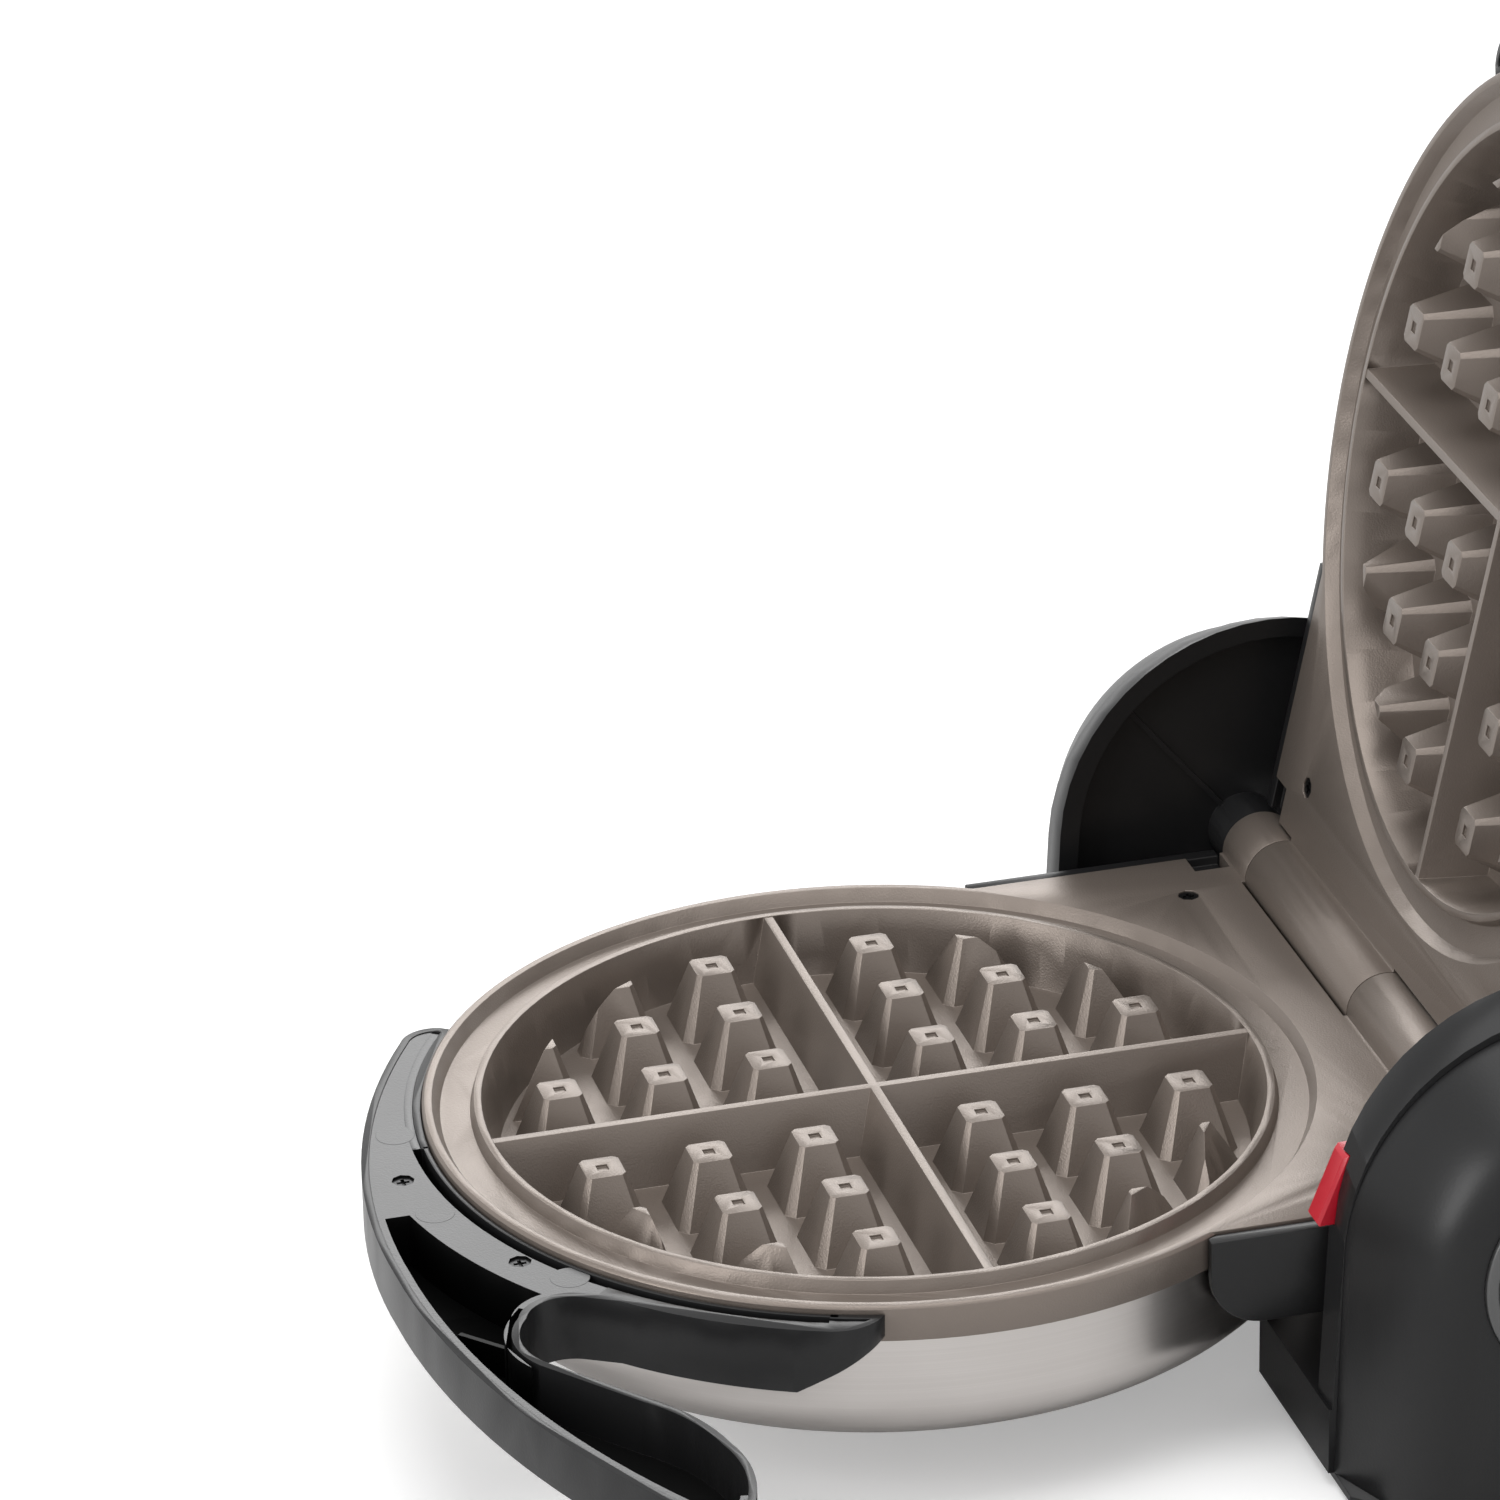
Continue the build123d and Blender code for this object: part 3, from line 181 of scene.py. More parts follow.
def make_unevenness():
    number = "NodeSocketFloat"
    group, given, result = start_group(
        "surface_unevenness",
        [("Grain Scale", number, 1500.0), ("Cloud Scale", number, 18.0), ("Gloss", number, 0.4),
         ("Gloss Spread", number, 0.1), ("Grain Depth", number, 0.1), ("Base", "NodeSocketColor", None),
         ("Other", "NodeSocketColor", None)],
        [("Color", "NodeSocketColor"), ("Roughness", number), ("Normal", "NodeSocketVector")],
    )
    place = add_node(group, "ShaderNodeTexCoord").outputs["Object"]
    clouds = add_node(group, "ShaderNodeTexNoise", {
        "Vector": place, "Scale": given.outputs["Cloud Scale"], "Detail": 4.0})
    grain = add_node(group, "ShaderNodeTexNoise", {
        "Vector": place, "Scale": given.outputs["Grain Scale"], "Detail": 2.0})
    colour = add_node(group, "ShaderNodeMix", data_type="RGBA")
    group.links.new(clouds.outputs["Fac"], colour.inputs[0])
    group.links.new(given.outputs["Base"], colour.inputs[6])
    group.links.new(given.outputs["Other"], colour.inputs[7])
    centred = add_node(group, "ShaderNodeMath", {0: clouds.outputs["Fac"], 1: 0.5}, operation="SUBTRACT")
    spread = add_node(group, "ShaderNodeMath", {0: centred.outputs[0], 1: given.outputs["Gloss Spread"]},
                      operation="MULTIPLY")
    gloss = add_node(group, "ShaderNodeMath", {0: spread.outputs[0], 1: given.outputs["Gloss"]},
                     operation="ADD")
    bump = add_node(group, "ShaderNodeBump", {
        "Height": grain.outputs["Fac"], "Strength": given.outputs["Grain Depth"], "Distance": GRAIN_HEIGHT})
    group.links.new(colour.outputs[2], result.inputs["Color"])
    group.links.new(gloss.outputs[0], result.inputs["Roughness"])
    group.links.new(bump.outputs["Normal"], result.inputs["Normal"])
    return group


unevenness = make_unevenness()
print("group", unevenness.name, "made")


# %% Group: brushing round a turned shell
def make_brushing():
    number = "NodeSocketFloat"
    group, given, result = start_group(
        "turned_brushing",
        [("Gloss", number, 0.3), ("Gloss Spread", number, 0.15), ("Depth", number, 0.1),
         ("Middle", "NodeSocketVector", None), ("Turn", number, 0.0)],
        [("Roughness", number), ("Normal", "NodeSocketVector"), ("Streaks", number)],
    )
    place = add_node(group, "ShaderNodeTexCoord").outputs["Object"]
    moved = add_node(group, "ShaderNodeVectorMath", {0: place, 1: given.outputs["Middle"]},
                     operation="SUBTRACT")
    turned_back = add_node(group, "ShaderNodeVectorRotate", {
        "Vector": moved.outputs[0], "Angle": given.outputs["Turn"]}, rotation_type="X_AXIS")
    axes = add_node(group, "ShaderNodeSeparateXYZ", {0: turned_back.outputs[0]})
    flat = add_node(group, "ShaderNodeCombineXYZ", {0: axes.outputs[0], 1: axes.outputs[1]})
    reach = add_node(group, "ShaderNodeVectorMath", {0: flat.outputs[0]}, operation="LENGTH")
    across = add_node(group, "ShaderNodeCombineXYZ", {0: reach.outputs["Value"], 1: axes.outputs[2]})
    fine = add_node(group, "ShaderNodeTexNoise", {
        "Vector": across.outputs[0], "Scale": 2600.0, "Detail": 3.0})
    broken = add_node(group, "ShaderNodeTexNoise", {"Vector": place, "Scale": 30.0, "Detail": 2.0})
    streaks = add_node(group, "ShaderNodeMath", {0: fine.outputs["Fac"], 1: broken.outputs["Fac"]},
                       operation="MULTIPLY")
    centred = add_node(group, "ShaderNodeMath", {0: streaks.outputs[0], 1: 0.25}, operation="SUBTRACT")
    spread = add_node(group, "ShaderNodeMath", {0: centred.outputs[0], 1: given.outputs["Gloss Spread"]},
                      operation="MULTIPLY")
    gloss = add_node(group, "ShaderNodeMath", {0: spread.outputs[0], 1: given.outputs["Gloss"]},
                     operation="ADD")
    bump = add_node(group, "ShaderNodeBump", {
        "Height": streaks.outputs[0], "Strength": given.outputs["Depth"], "Distance": STREAK_HEIGHT})
    group.links.new(gloss.outputs[0], result.inputs["Roughness"])
    group.links.new(bump.outputs["Normal"], result.inputs["Normal"])
    group.links.new(streaks.outputs[0], result.inputs["Streaks"])
    return group


brushing = make_brushing()
print("group", brushing.name, "made")


# %% [markdown]
# ## Finishes
# Most finishes are one recipe with their own numbers: two close colours that cloud into each
# other, a gloss that drifts a little, and a grain. A coating on cast metal keeps part of the
# metal's shine, so it has some Metallic. Plastics have none.

# %% Moulded and coated finishes
def clouded_finish(name, base, other, gloss, spread=0.08, grain=1500.0, depth=0.12, cloud=18.0, **sockets):
    material, tree, shader = start_material(name, **sockets)
    effect = add_node(tree, "ShaderNodeGroup", node_tree=unevenness)
    values = {"Grain Scale": grain, "Cloud Scale": cloud, "Gloss": gloss, "Gloss Spread": spread,
              "Grain Depth": depth, "Base": (*base, 1), "Other": (*other, 1)}
    for label, value in values.items():
        effect.inputs[label].default_value = value
    tree.links.new(effect.outputs["Color"], shader.inputs["Base Color"])
    tree.links.new(effect.outputs["Roughness"], shader.inputs["Roughness"])
    tree.links.new(effect.outputs["Normal"], shader.inputs["Normal"])
    return material


coated = clouded_finish(
    "ceramic_coating", (0.215, 0.180, 0.155), (0.188, 0.158, 0.137), gloss=0.37, grain=2200.0,
    depth=0.30, cloud=30.0, Metallic=0.5)
black = clouded_finish(
    "black_moulding", (0.009, 0.009, 0.0095), (0.013, 0.013, 0.0135), gloss=0.33, grain=1400.0,
    depth=0.10, Specular_IOR_Level=0.28)
satin_black = clouded_finish(
    "satin_black_moulding", (0.020, 0.020, 0.021), (0.028, 0.028, 0.029), gloss=0.34, spread=0.06,
    grain=2000.0, depth=0.20)
# Painted shade: a near-black with little reflection, put on handle walls and floors that lie in shade.
painted_shade_black = clouded_finish(
    "painted_shade_recess", (0.0015, 0.0015, 0.0015), (0.002, 0.002, 0.002), gloss=0.45, spread=0.05,
    grain=900.0, depth=0.05, Specular_IOR_Level=0.1)
polished_black = clouded_finish(
    "polished_black", (0.006, 0.006, 0.008), (0.008, 0.008, 0.010), gloss=0.12, spread=0.04,
    grain=900.0, depth=0.02)
red = clouded_finish(
    "red_moulding", (0.42, 0.004, 0.016), (0.50, 0.008, 0.024), gloss=0.28, depth=0.10)
pale = clouded_finish(
    "pale_insulator", (0.60, 0.58, 0.52), (0.68, 0.66, 0.60), gloss=0.55, spread=0.10, grain=900.0,
    depth=0.20)
amber = clouded_finish(
    "amber_light", (0.75, 0.22, 0.02), (0.85, 0.30, 0.04), gloss=0.15, spread=0.04, grain=900.0,
    depth=0.02)
board = clouded_finish(
    "lacquered_board", (0.015, 0.120, 0.040), (0.020, 0.160, 0.055), gloss=0.30, spread=0.10,
    grain=700.0, depth=0.10, cloud=220.0)
zinc = clouded_finish(
    "zinc_plate", (0.47, 0.47, 0.46), (0.55, 0.55, 0.52), gloss=0.34, spread=0.14, grain=1800.0,
    depth=0.15, cloud=60.0, Metallic=1.0)
dark_steel = clouded_finish(
    "blackened_steel", (0.035, 0.035, 0.037), (0.050, 0.050, 0.050), gloss=0.38, spread=0.10,
    grain=1800.0, depth=0.15, cloud=60.0, Metallic=1.0)
ring_grey = clouded_finish(
    "satin_ring", (0.10, 0.10, 0.10), (0.13, 0.13, 0.13), gloss=0.32, spread=0.06, grain=900.0,
    depth=0.05, cloud=40.0, Metallic=0.8)
rubber = clouded_finish(
    "soft_rubber", (0.014, 0.014, 0.014), (0.022, 0.022, 0.021), gloss=0.75, spread=0.12,
    grain=1100.0, depth=0.35, cloud=60.0)
print("finishes made:", len(bpy.data.materials))


# %% Brushed stainless steel, one material for each shell
def stainless_for(name, centre, turn):
    material, tree, shader = start_material(name, Metallic=1.0)
    effect = add_node(tree, "ShaderNodeGroup", node_tree=brushing)
    values = {"Gloss": 0.30, "Gloss Spread": 0.12, "Depth": 0.06, "Middle": centre, "Turn": turn}
    for label, value in values.items():
        effect.inputs[label].default_value = value
    tone = add_node(tree, "ShaderNodeMix", data_type="RGBA")
    tree.links.new(effect.outputs["Streaks"], tone.inputs[0])
    tone.inputs[6].default_value = (0.50, 0.47, 0.45, 1)
    tone.inputs[7].default_value = (0.66, 0.63, 0.61, 1)
    tree.links.new(tone.outputs[2], shader.inputs["Base Color"])
    tree.links.new(effect.outputs["Roughness"], shader.inputs["Roughness"])
    tree.links.new(effect.outputs["Normal"], shader.inputs["Normal"])
    return material


lower_centre = Vector((plate_middle.x, plate_middle.y, hinge.z))
cover_centre = to_cover @ lower_centre
stainless = {"lower": stainless_for("stainless_lower", lower_centre, 0.0),
             "cover": stainless_for("stainless_cover", cover_centre, -open_angle)}
print("cover's plate middle", tuple(round(v, 4) for v in cover_centre))

# %% One finish for each material slot
bodies = frame["record"]["behaviour"]["bodies"]
body_of = {node: body for body, members in bodies.items() for node in members}
slot_of = {part["node"]: part["material_slot"] for part in frame["record"]["subparts"]}
material_of = {"coated_aluminium": coated, "black_plastic": black, "satin_black_plastic": satin_black,
               "gloss_black_plastic": polished_black, "red_plastic": red, "pale_plastic": pale,
               "amber_plastic": amber, "board_green": board, "polished_trim": ring_grey, "zinc_steel": zinc,
               "rubber": rubber}
for node, piece in nodes.items():
    piece.data.materials.clear()
    if slot_of[node] == "stainless":
        piece.data.materials.append(stainless[node.split("_")[0]])
    else:
        piece.data.materials.append(material_of[slot_of[node]])
print("finishes given to", len(nodes), "solids")

# %% [markdown]
# ## How a piece is handed over
# Every finished piece is a plain mesh in its true place. It moves with one body of the machine and
# stands for one solid of the model. Smooth shading stops at edges sharper than a set angle.

# %% Helpers that place and hand over a piece
def link_piece(name, mesh):
    piece = bpy.data.objects.new(name, mesh)
    bpy.context.scene.collection.objects.link(piece)
    return piece


def settle(piece):
    """Turns an object with modifiers into one plain mesh."""
    shown = piece.evaluated_get(bpy.context.evaluated_depsgraph_get())
    finished = bpy.data.meshes.new_from_object(shown)
    piece.modifiers.clear()
    piece.data = finished
    return piece


def carry(mesh, place):
    """Moves a mesh to a place. A reflection turns faces inside out, so it turns them back."""
    mesh.transform(place)
    if place.determinant() < 0:
        mesh.flip_normals()


def stand_for(piece, node):
    """Lets a piece move with a node's body and take the node's place; the node itself is hidden."""
    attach(piece, body_of[node])
    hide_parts(node)
    return piece


def hand_over(piece, place, node, sharp_angle=32.0):
    mesh = piece.data
    carry(mesh, place)
    for face in mesh.polygons:
        face.use_smooth = True
    mesh.set_sharp_from_angle(angle=math.radians(sharp_angle))
    return stand_for(piece, node)


STILL = Matrix.Identity(4)

# %% [markdown]
# ## Soft edges
# No moulded or cast edge is knife sharp: a radius of a few tenths of a millimetre catches the
# light as a thin line. Each visible rigid piece is therefore a copy of its solid, with loose
# points merged and flat triangles joined again, and with a narrow bevel on its hard edges. A
# pedestal's round top also falls a little towards the seam where the outer cover meets it.

# %% Copy a solid and soften its edges
MERGE_DISTANCE = 0.002 * MM
FLAT_ANGLE = math.radians(0.6)
HARD_ANGLE = math.radians(28)
EDGE_RADIUS = {"grid_plate": 0.45, "hinge_housing": 0.6}
PEDESTAL_RADIUS = 0.6
PLAIN_RADIUS = {"base_bridge": 0.8, "bottom_plate": 0.4, "lock_tab": 0.5, "control_face": 0.2}
SEAM_DROP = 1.8 * MM
SEAM_WIDTH = 1.0 * MM


def copy_solid(node, name, place=STILL):
    """A clean copy of a node's mesh, carried back from its place."""
    mesh = nodes[node].data.copy()
    work = bmesh.new()
    work.from_mesh(mesh)
    bmesh.ops.remove_doubles(work, verts=work.verts, dist=MERGE_DISTANCE)
    bmesh.ops.dissolve_limit(work, angle_limit=FLAT_ANGLE, verts=work.verts, edges=work.edges)
    work.to_mesh(mesh)
    work.free()
    carry(mesh, place.inverted())
    return link_piece(name, mesh)


def soften(piece, node, width, place=STILL, flat=False):
    """Puts a copy in its place and rounds its hard edges. With flat, many-sided faces are shaded flat."""
    carry(piece.data, place)
    for face in piece.data.polygons:
        face.use_smooth = True
    rounding = piece.modifiers.new("edge_radius", "BEVEL")
    rounding.width = width
    rounding.segments = 2
    rounding.limit_method = "ANGLE"
    rounding.angle_limit = HARD_ANGLE
    rounding.harden_normals = True
    settle(piece)
    for face in piece.data.polygons:
        face.use_smooth = not (flat and len(face.vertices) > 4)
    return stand_for(piece, node)


def lower_seam(piece):
    """Lets a pedestal's round top slope down from its rim to the seam of the outer cover."""
    seam = max(abs(vert.co.x) for vert in piece.data.vertices)
    high = max(vert.co.z for vert in piece.data.vertices)
    for vert in piece.data.vertices:
        if abs(vert.co.x) > seam - SEAM_WIDTH:
            vert.co.z -= SEAM_DROP * max(0.0, (vert.co.z - hinge.z) / (high - hinge.z)) ** 0.5


softened = []
for part, radius in EDGE_RADIUS.items():
    for half in ("lower", "cover"):
        node = f"{half}_{part}"
        softened.append(soften(copy_solid(node, node + "_soft"), node, radius * MM))
for node in ("right_pedestal", "left_pedestal"):
    pedestal = copy_solid(node, node + "_soft")
    lower_seam(pedestal)
    softened.append(soften(pedestal, node, PEDESTAL_RADIUS * MM, flat=True))
for node, radius in PLAIN_RADIUS.items():
    softened.append(soften(copy_solid(node, node + "_soft"), node, radius * MM))
print("softened", len(softened), "pieces")

# %% [markdown]
# ## Spun steel shells
# Each half has a stainless shell, spun from a disc: a straight side, a rounded corner and a flat
# end. The shape follows a rule, so Geometry Nodes draw it. A flat grid is rolled up: one of its
# directions becomes the angle round the shell, and the other runs down the side and along a
# quarter ellipse. A disc closes the end, and a Solidify modifier gives the sheet its thickness.

# %% Helpers for geometry trees
def start_tree(name, inputs):
    tree = bpy.data.node_groups.new(name, "GeometryNodeTree")
    tree.interface.new_socket("Geometry", in_out="OUTPUT", socket_type="NodeSocketGeometry")
    for label, kind, value in inputs:
        socket = tree.interface.new_socket(label, in_out="INPUT", socket_type="NodeSocket" + kind)
        if value is not None:
            socket.default_value = value
    return tree, tree.nodes.new("NodeGroupInput").outputs, tree.nodes.new("NodeGroupOutput")


def maths(tree, operation, first, second=0.0, clamp=False):
    made = add_node(tree, "ShaderNodeMath", {0: first, 1: second}, operation=operation, use_clamp=clamp)
    return made.outputs[0]


def finish_tree(tree, geometry, material, result):
    real = add_node(tree, "GeometryNodeRealizeInstances", {"Geometry": geometry})
    finish = add_node(tree, "GeometryNodeSetMaterial", {"Geometry": real.outputs[0], "Material": material})
    tree.links.new(finish.outputs[0], result.inputs["Geometry"])


def grow(name, tree, values, mesh=None):
    """An object whose mesh is what the tree makes with these inputs."""
    piece = link_piece(name, mesh or bpy.data.meshes.new(name))
    modifier = piece.modifiers.new(tree.name, "NODES")
    modifier.node_group = tree
    for socket in tree.interface.items_tree:
        if socket.in_out == "INPUT" and socket.name in values:
            modifier[socket.identifier] = values[socket.name]
    return settle(piece)


# %% Tree: spun shell
def make_shell_tree():
    tree, given, result = start_tree("spun_shell", [
        ("Radius", "Float", 0.105), ("Rim Depth", "Float", 0.009), ("Side Depth", "Float", 0.024),
        ("Full Depth", "Float", 0.043), ("Flat Radius", "Float", 0.078), ("Around", "Int", 160),
        ("Steps", "Int", 12), ("Material", "Material", None)])
    grid = add_node(tree, "GeometryNodeMeshGrid", {
        "Size X": 1.0, "Size Y": 1.0, "Vertices X": maths(tree, "ADD", given["Around"], 1.0),
        "Vertices Y": maths(tree, "ADD", given["Steps"], 2.0)})
    place = add_node(tree, "ShaderNodeSeparateXYZ", {0: add_node(tree, "GeometryNodeInputPosition").outputs[0]})
    angle = maths(tree, "MULTIPLY", maths(tree, "ADD", place.outputs[0], 0.5), math.tau)
    last_row = maths(tree, "ADD", given["Steps"], 1.0)
    row = maths(tree, "MULTIPLY", maths(tree, "ADD", place.outputs[1], 0.5), last_row)
    share = maths(tree, "DIVIDE", maths(tree, "SUBTRACT", row, 1.0), given["Steps"], clamp=True)
    turn = maths(tree, "MULTIPLY", share, math.pi / 2)
    corner_width = maths(tree, "SUBTRACT", given["Radius"], given["Flat Radius"])
    corner_depth = maths(tree, "SUBTRACT", given["Full Depth"], given["Side Depth"])
    outwards_by = maths(tree, "MULTIPLY", corner_width, maths(tree, "COSINE", turn))
    reach = maths(tree, "ADD", given["Flat Radius"], outwards_by)
    downwards_by = maths(tree, "MULTIPLY", corner_depth, maths(tree, "SINE", turn))
    down = maths(tree, "ADD", given["Side Depth"], downwards_by)
    at_rim = maths(tree, "LESS_THAN", row, 0.5)
    rise = maths(tree, "MULTIPLY", at_rim, maths(tree, "SUBTRACT", given["Side Depth"], given["Rim Depth"]))
    level = maths(tree, "SUBTRACT", rise, down)
    rolled = add_node(tree, "ShaderNodeCombineXYZ", {
        0: maths(tree, "MULTIPLY", reach, maths(tree, "COSINE", angle)),
        1: maths(tree, "MULTIPLY", reach, maths(tree, "SINE", angle)), 2: level})
    side = add_node(tree, "GeometryNodeSetPosition", {
        "Geometry": grid.outputs["Mesh"], "Position": rolled.outputs[0]})
    disc = add_node(tree, "GeometryNodeMeshCircle", {
        "Vertices": given["Around"], "Radius": given["Flat Radius"]}, fill_type="NGON")
    end = add_node(tree, "ShaderNodeCombineXYZ", {2: maths(tree, "MULTIPLY", given["Full Depth"], -1.0)})
    lowered = add_node(tree, "GeometryNodeTransform", {
        "Geometry": disc.outputs["Mesh"], "Translation": end.outputs[0]})
    both = add_node(tree, "GeometryNodeJoinGeometry")
    tree.links.new(side.outputs[0], both.inputs[0])
    tree.links.new(lowered.outputs[0], both.inputs[0])
    outwards = add_node(tree, "GeometryNodeFlipFaces", {"Mesh": both.outputs[0]})
    merged = add_node(tree, "GeometryNodeMergeByDistance", {
        "Geometry": outwards.outputs[0], "Distance": 0.01 * MM})
    finish_tree(tree, merged.outputs[0], given["Material"], result)
    return tree


shell_tree = make_shell_tree()
SHEET = 0.9 * MM
CORNER_DEPTH = 19 * MM
FLAT_RADIUS = 78 * MM
ROUND_ALLOWANCE = 0.05 * MM
shell_low, shell_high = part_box("lower_shell")
shell_values = {
    "Radius": (shell_high.x - shell_low.x) / 2 - ROUND_ALLOWANCE,
    "Rim Depth": hinge.z - shell_high.z,
    "Side Depth": hinge.z - shell_low.z - CORNER_DEPTH,
    "Full Depth": hinge.z - shell_low.z,
    "Flat Radius": FLAT_RADIUS,
}
for half in ("lower", "cover"):
    shell = grow(f"{half}_spun_shell", shell_tree, {**shell_values, "Material": stainless[half]})
    sheet = shell.modifiers.new("sheet", "SOLIDIFY")
    sheet.thickness = SHEET
    sheet.offset = -1
    hand_over(settle(shell), round_place[half], f"{half}_shell")
print("shell faces", len(shell.data.polygons), "full depth", round(shell_values["Full Depth"], 4))

# %% [markdown]
# ## Smooth outer covers
# The outer side of each pedestal is a glossy cover, rounded like a pebble. Its outline is a round
# top on two straight flanks. Each ring of points is the same outline, drawn in a little more along
# a Bezier curve: the cover slopes away from the seam at once, then turns softly into the flat face.
# The right one has the round opening that the controls fill.

# %% Outer covers of the pedestals
COVER_RADIUS = 54 * MM
COVER_MIDDLE = Vector((5 * MM, 57.7 * MM))
COVER_FEET = (Vector((-52 * MM, -34.4 * MM)), Vector((62 * MM, -34.4 * MM)))
COVER_PROFILE = [Vector((0, 0)), Vector((11 * MM, 5.2 * MM)), Vector((29.5 * MM, 9 * MM)),
                 Vector((29.5 * MM, 22 * MM))]
COVER_WALL = 2.4 * MM
COVER_EDGE = 0.35 * MM
HOLE_GAP = 0.05 * MM
ARC_STEPS = 48
ROUND_STEPS = 14
HOLE_STEPS = 96
seam_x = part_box("right_outer_cover")[0].x
face_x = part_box("right_outer_cover")[1].x
cover_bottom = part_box("right_outer_cover")[0].z
panel_middle = Vector((middle("control_bezel").y, middle("control_bezel").z))
panel_radius = size("control_face").y / 2


def cover_outline(inset):
    """Points of a cover's side view, drawn in by an inset, from front foot over the top to back foot."""
    touches = []
    for foot, sense in zip(COVER_FEET, (-1, 1)):
        away = foot - COVER_MIDDLE
        touches.append(math.atan2(away.y, away.x) + sense * math.acos(COVER_RADIUS / away.length))
    sweep = (touches[0] - touches[1]) % math.tau
    points = []
    for step in range(ARC_STEPS + 1):
        bearing = touches[0] - sweep * step / ARC_STEPS
        points.append(COVER_MIDDLE + (COVER_RADIUS - inset) * Vector((math.cos(bearing), math.sin(bearing))))
    ends = []
    for bearing, point, sense in ((touches[0], points[0], 1), (touches[1], points[-1], -1)):
        along = Vector((-math.sin(bearing), math.cos(bearing))) * sense
        ends.append(point + along * ((cover_bottom - point.y) / along.y))
    return [ends[0], *points, ends[1]]


def cover_mesh(name, hole):
    """The outer sheet of the right cover, with a round hole of this radius, or closed when it is 0."""
    work = bmesh.new()
    stations = []
    for step in range(ROUND_STEPS + 1):
        share = step / ROUND_STEPS
        first, second, third, last = COVER_PROFILE
        bulge = (first * (1 - share) ** 3 + second * 3 * share * (1 - share) ** 2
                 + third * 3 * share ** 2 * (1 - share) + last * share ** 3)
        stations.append((seam_x + bulge.x * (face_x - seam_x) / last.x, bulge.y))
    rings = []
    for x, inset in stations:
        rings.append([work.verts.new((x, point.x, point.y)) for point in cover_outline(inset)])
    for ring, following in zip(rings, rings[1:]):
        for corners in zip(ring, ring[1:], following[1:], following):
            work.faces.new(corners)
    if hole:
        outline = rings[-1]
        sides = zip(outline, outline[1:] + outline[:1])
        front = [work.edges.get(pair) or work.edges.new(pair) for pair in sides]
        lip = []
        for step in range(HOLE_STEPS):
            turn = math.tau * step / HOLE_STEPS
            across = panel_middle + hole * Vector((math.cos(turn), math.sin(turn)))
            lip.append(work.verts.new((face_x, across.x, across.y)))
        front += [work.edges.new(pair) for pair in zip(lip, lip[1:] + lip[:1])]
        bmesh.ops.triangle_fill(work, edges=front, use_beauty=True, normal=(1, 0, 0))
    else:
        work.faces.new(rings[-1])
    bmesh.ops.recalc_face_normals(work, faces=work.faces)
    if max(work.faces, key=lambda face: face.calc_center_median().x).normal.x < 0:
        bmesh.ops.reverse_faces(work, faces=work.faces)
    mesh = bpy.data.meshes.new(name)
    work.to_mesh(mesh)
    work.free()
    mesh.materials.append(black)
    return mesh


def outer_cover(node, hole, place):
    piece = link_piece(node + "_smooth", cover_mesh(node, hole))
    wall = piece.modifiers.new("wall", "SOLIDIFY")
    wall.thickness = COVER_WALL
    wall.offset = -1
    wall.use_even_offset = True
    edge = piece.modifiers.new("edge_radius", "BEVEL")
    edge.width = COVER_EDGE
    edge.segments = 2
    edge.limit_method = "ANGLE"
    edge.angle_limit = math.radians(50)
    return hand_over(settle(piece), place, node, 40.0)


right_cover = outer_cover("right_outer_cover", panel_radius + HOLE_GAP, STILL)
other_side = Matrix.Scale(-1, 4, (1, 0, 0))
left_cover = outer_cover("left_outer_cover", 0.0, other_side)
print("outer cover faces", len(right_cover.data.polygons), len(left_cover.data.polygons))

# %% [markdown]
# ## Hook handles
# Each handle is a black pan with a satin trim set into it. A copy of each solid gets the fine forms
# that a moulder adds: a thin lip beside the plate's rim, a filled strip where the slot ends, a
# toe cut obliquely, and no liner along the palm side. The trim's walls and the pan's floor are
# painted a deeper black than their plastic, as painted shade, because little light reaches them.
# All of it is drawn round the plate's middle, then carried to each half.

# %% Fine forms of the handle
HANDLE_TOP = -2.0 * MM
TRIM_TOP = -2.2 * MM
PAN_FLOOR = -15.5 * MM
PALM_LINE = [(168.6, -75.3), (157.3, -73.3), (146.3, -74.9), (133.0, -79.6), (122.0, -87.5), (100.4, -104.7),
             (91.0, -107.6), (80.5, -104.0), (77.4, -101.5)]
PALM_HALF = 3.7 * MM
TOE_BEARING, TOE_SLOPE = math.radians(-25.0), math.radians(30.0)
TOE_RADIUS = 110 * MM
HANDLE_BOTTOM = -18.0 * MM
FLOOR_LEVEL = -15 * MM
LIP_INNER, LIP_OUTER, LIP_DEPTH = 106.45 * MM, 107.6 * MM, 7 * MM
LIP_START, LIP_END = -92.5, -20.5
FILLER_INNER, FILLER_OUTER = 108.2 * MM, 110.2 * MM
FILLER_START, FILLER_END = -123.0, -92.3
MOULD_MARKS = [(-12.5, -112.3), (26.9, -112.1), (65.1, -90.1)]
MARK_FOOT, MARK_CROWN, MARK_HEIGHT = 4.6 * MM, 4.5 * MM, 0.10 * MM
PAN_EDGE, TRIM_EDGE = 0.4 * MM, 0.3 * MM


def close_rings(work, rings):
    """Joins rings of four points into one closed bar, with an end face on the first and the last."""
    made = [work.faces.new(rings[0]), work.faces.new(rings[-1])]
    for ring, following in zip(rings, rings[1:]):
        for corner in range(4):
            other = (corner + 1) % 4
            made.append(work.faces.new((ring[corner], ring[other], following[other], following[corner])))
    bmesh.ops.recalc_face_normals(work, faces=made)


def add_strip(work, inner, outer, start, end, low, high, steps=48):
    """Adds a closed strip of a ring round the plate's middle, between two bearings in degrees."""
    rings = []
    for step in range(steps + 1):
        bearing = math.radians(start + (end - start) * step / steps)
        along = Vector((math.cos(bearing), math.sin(bearing), 0))
        corners = ((inner, low), (outer, low), (outer, high), (inner, high))
        rings.append([work.verts.new(along * reach + Vector((0, 0, level))) for reach, level in corners])
    close_rings(work, rings)


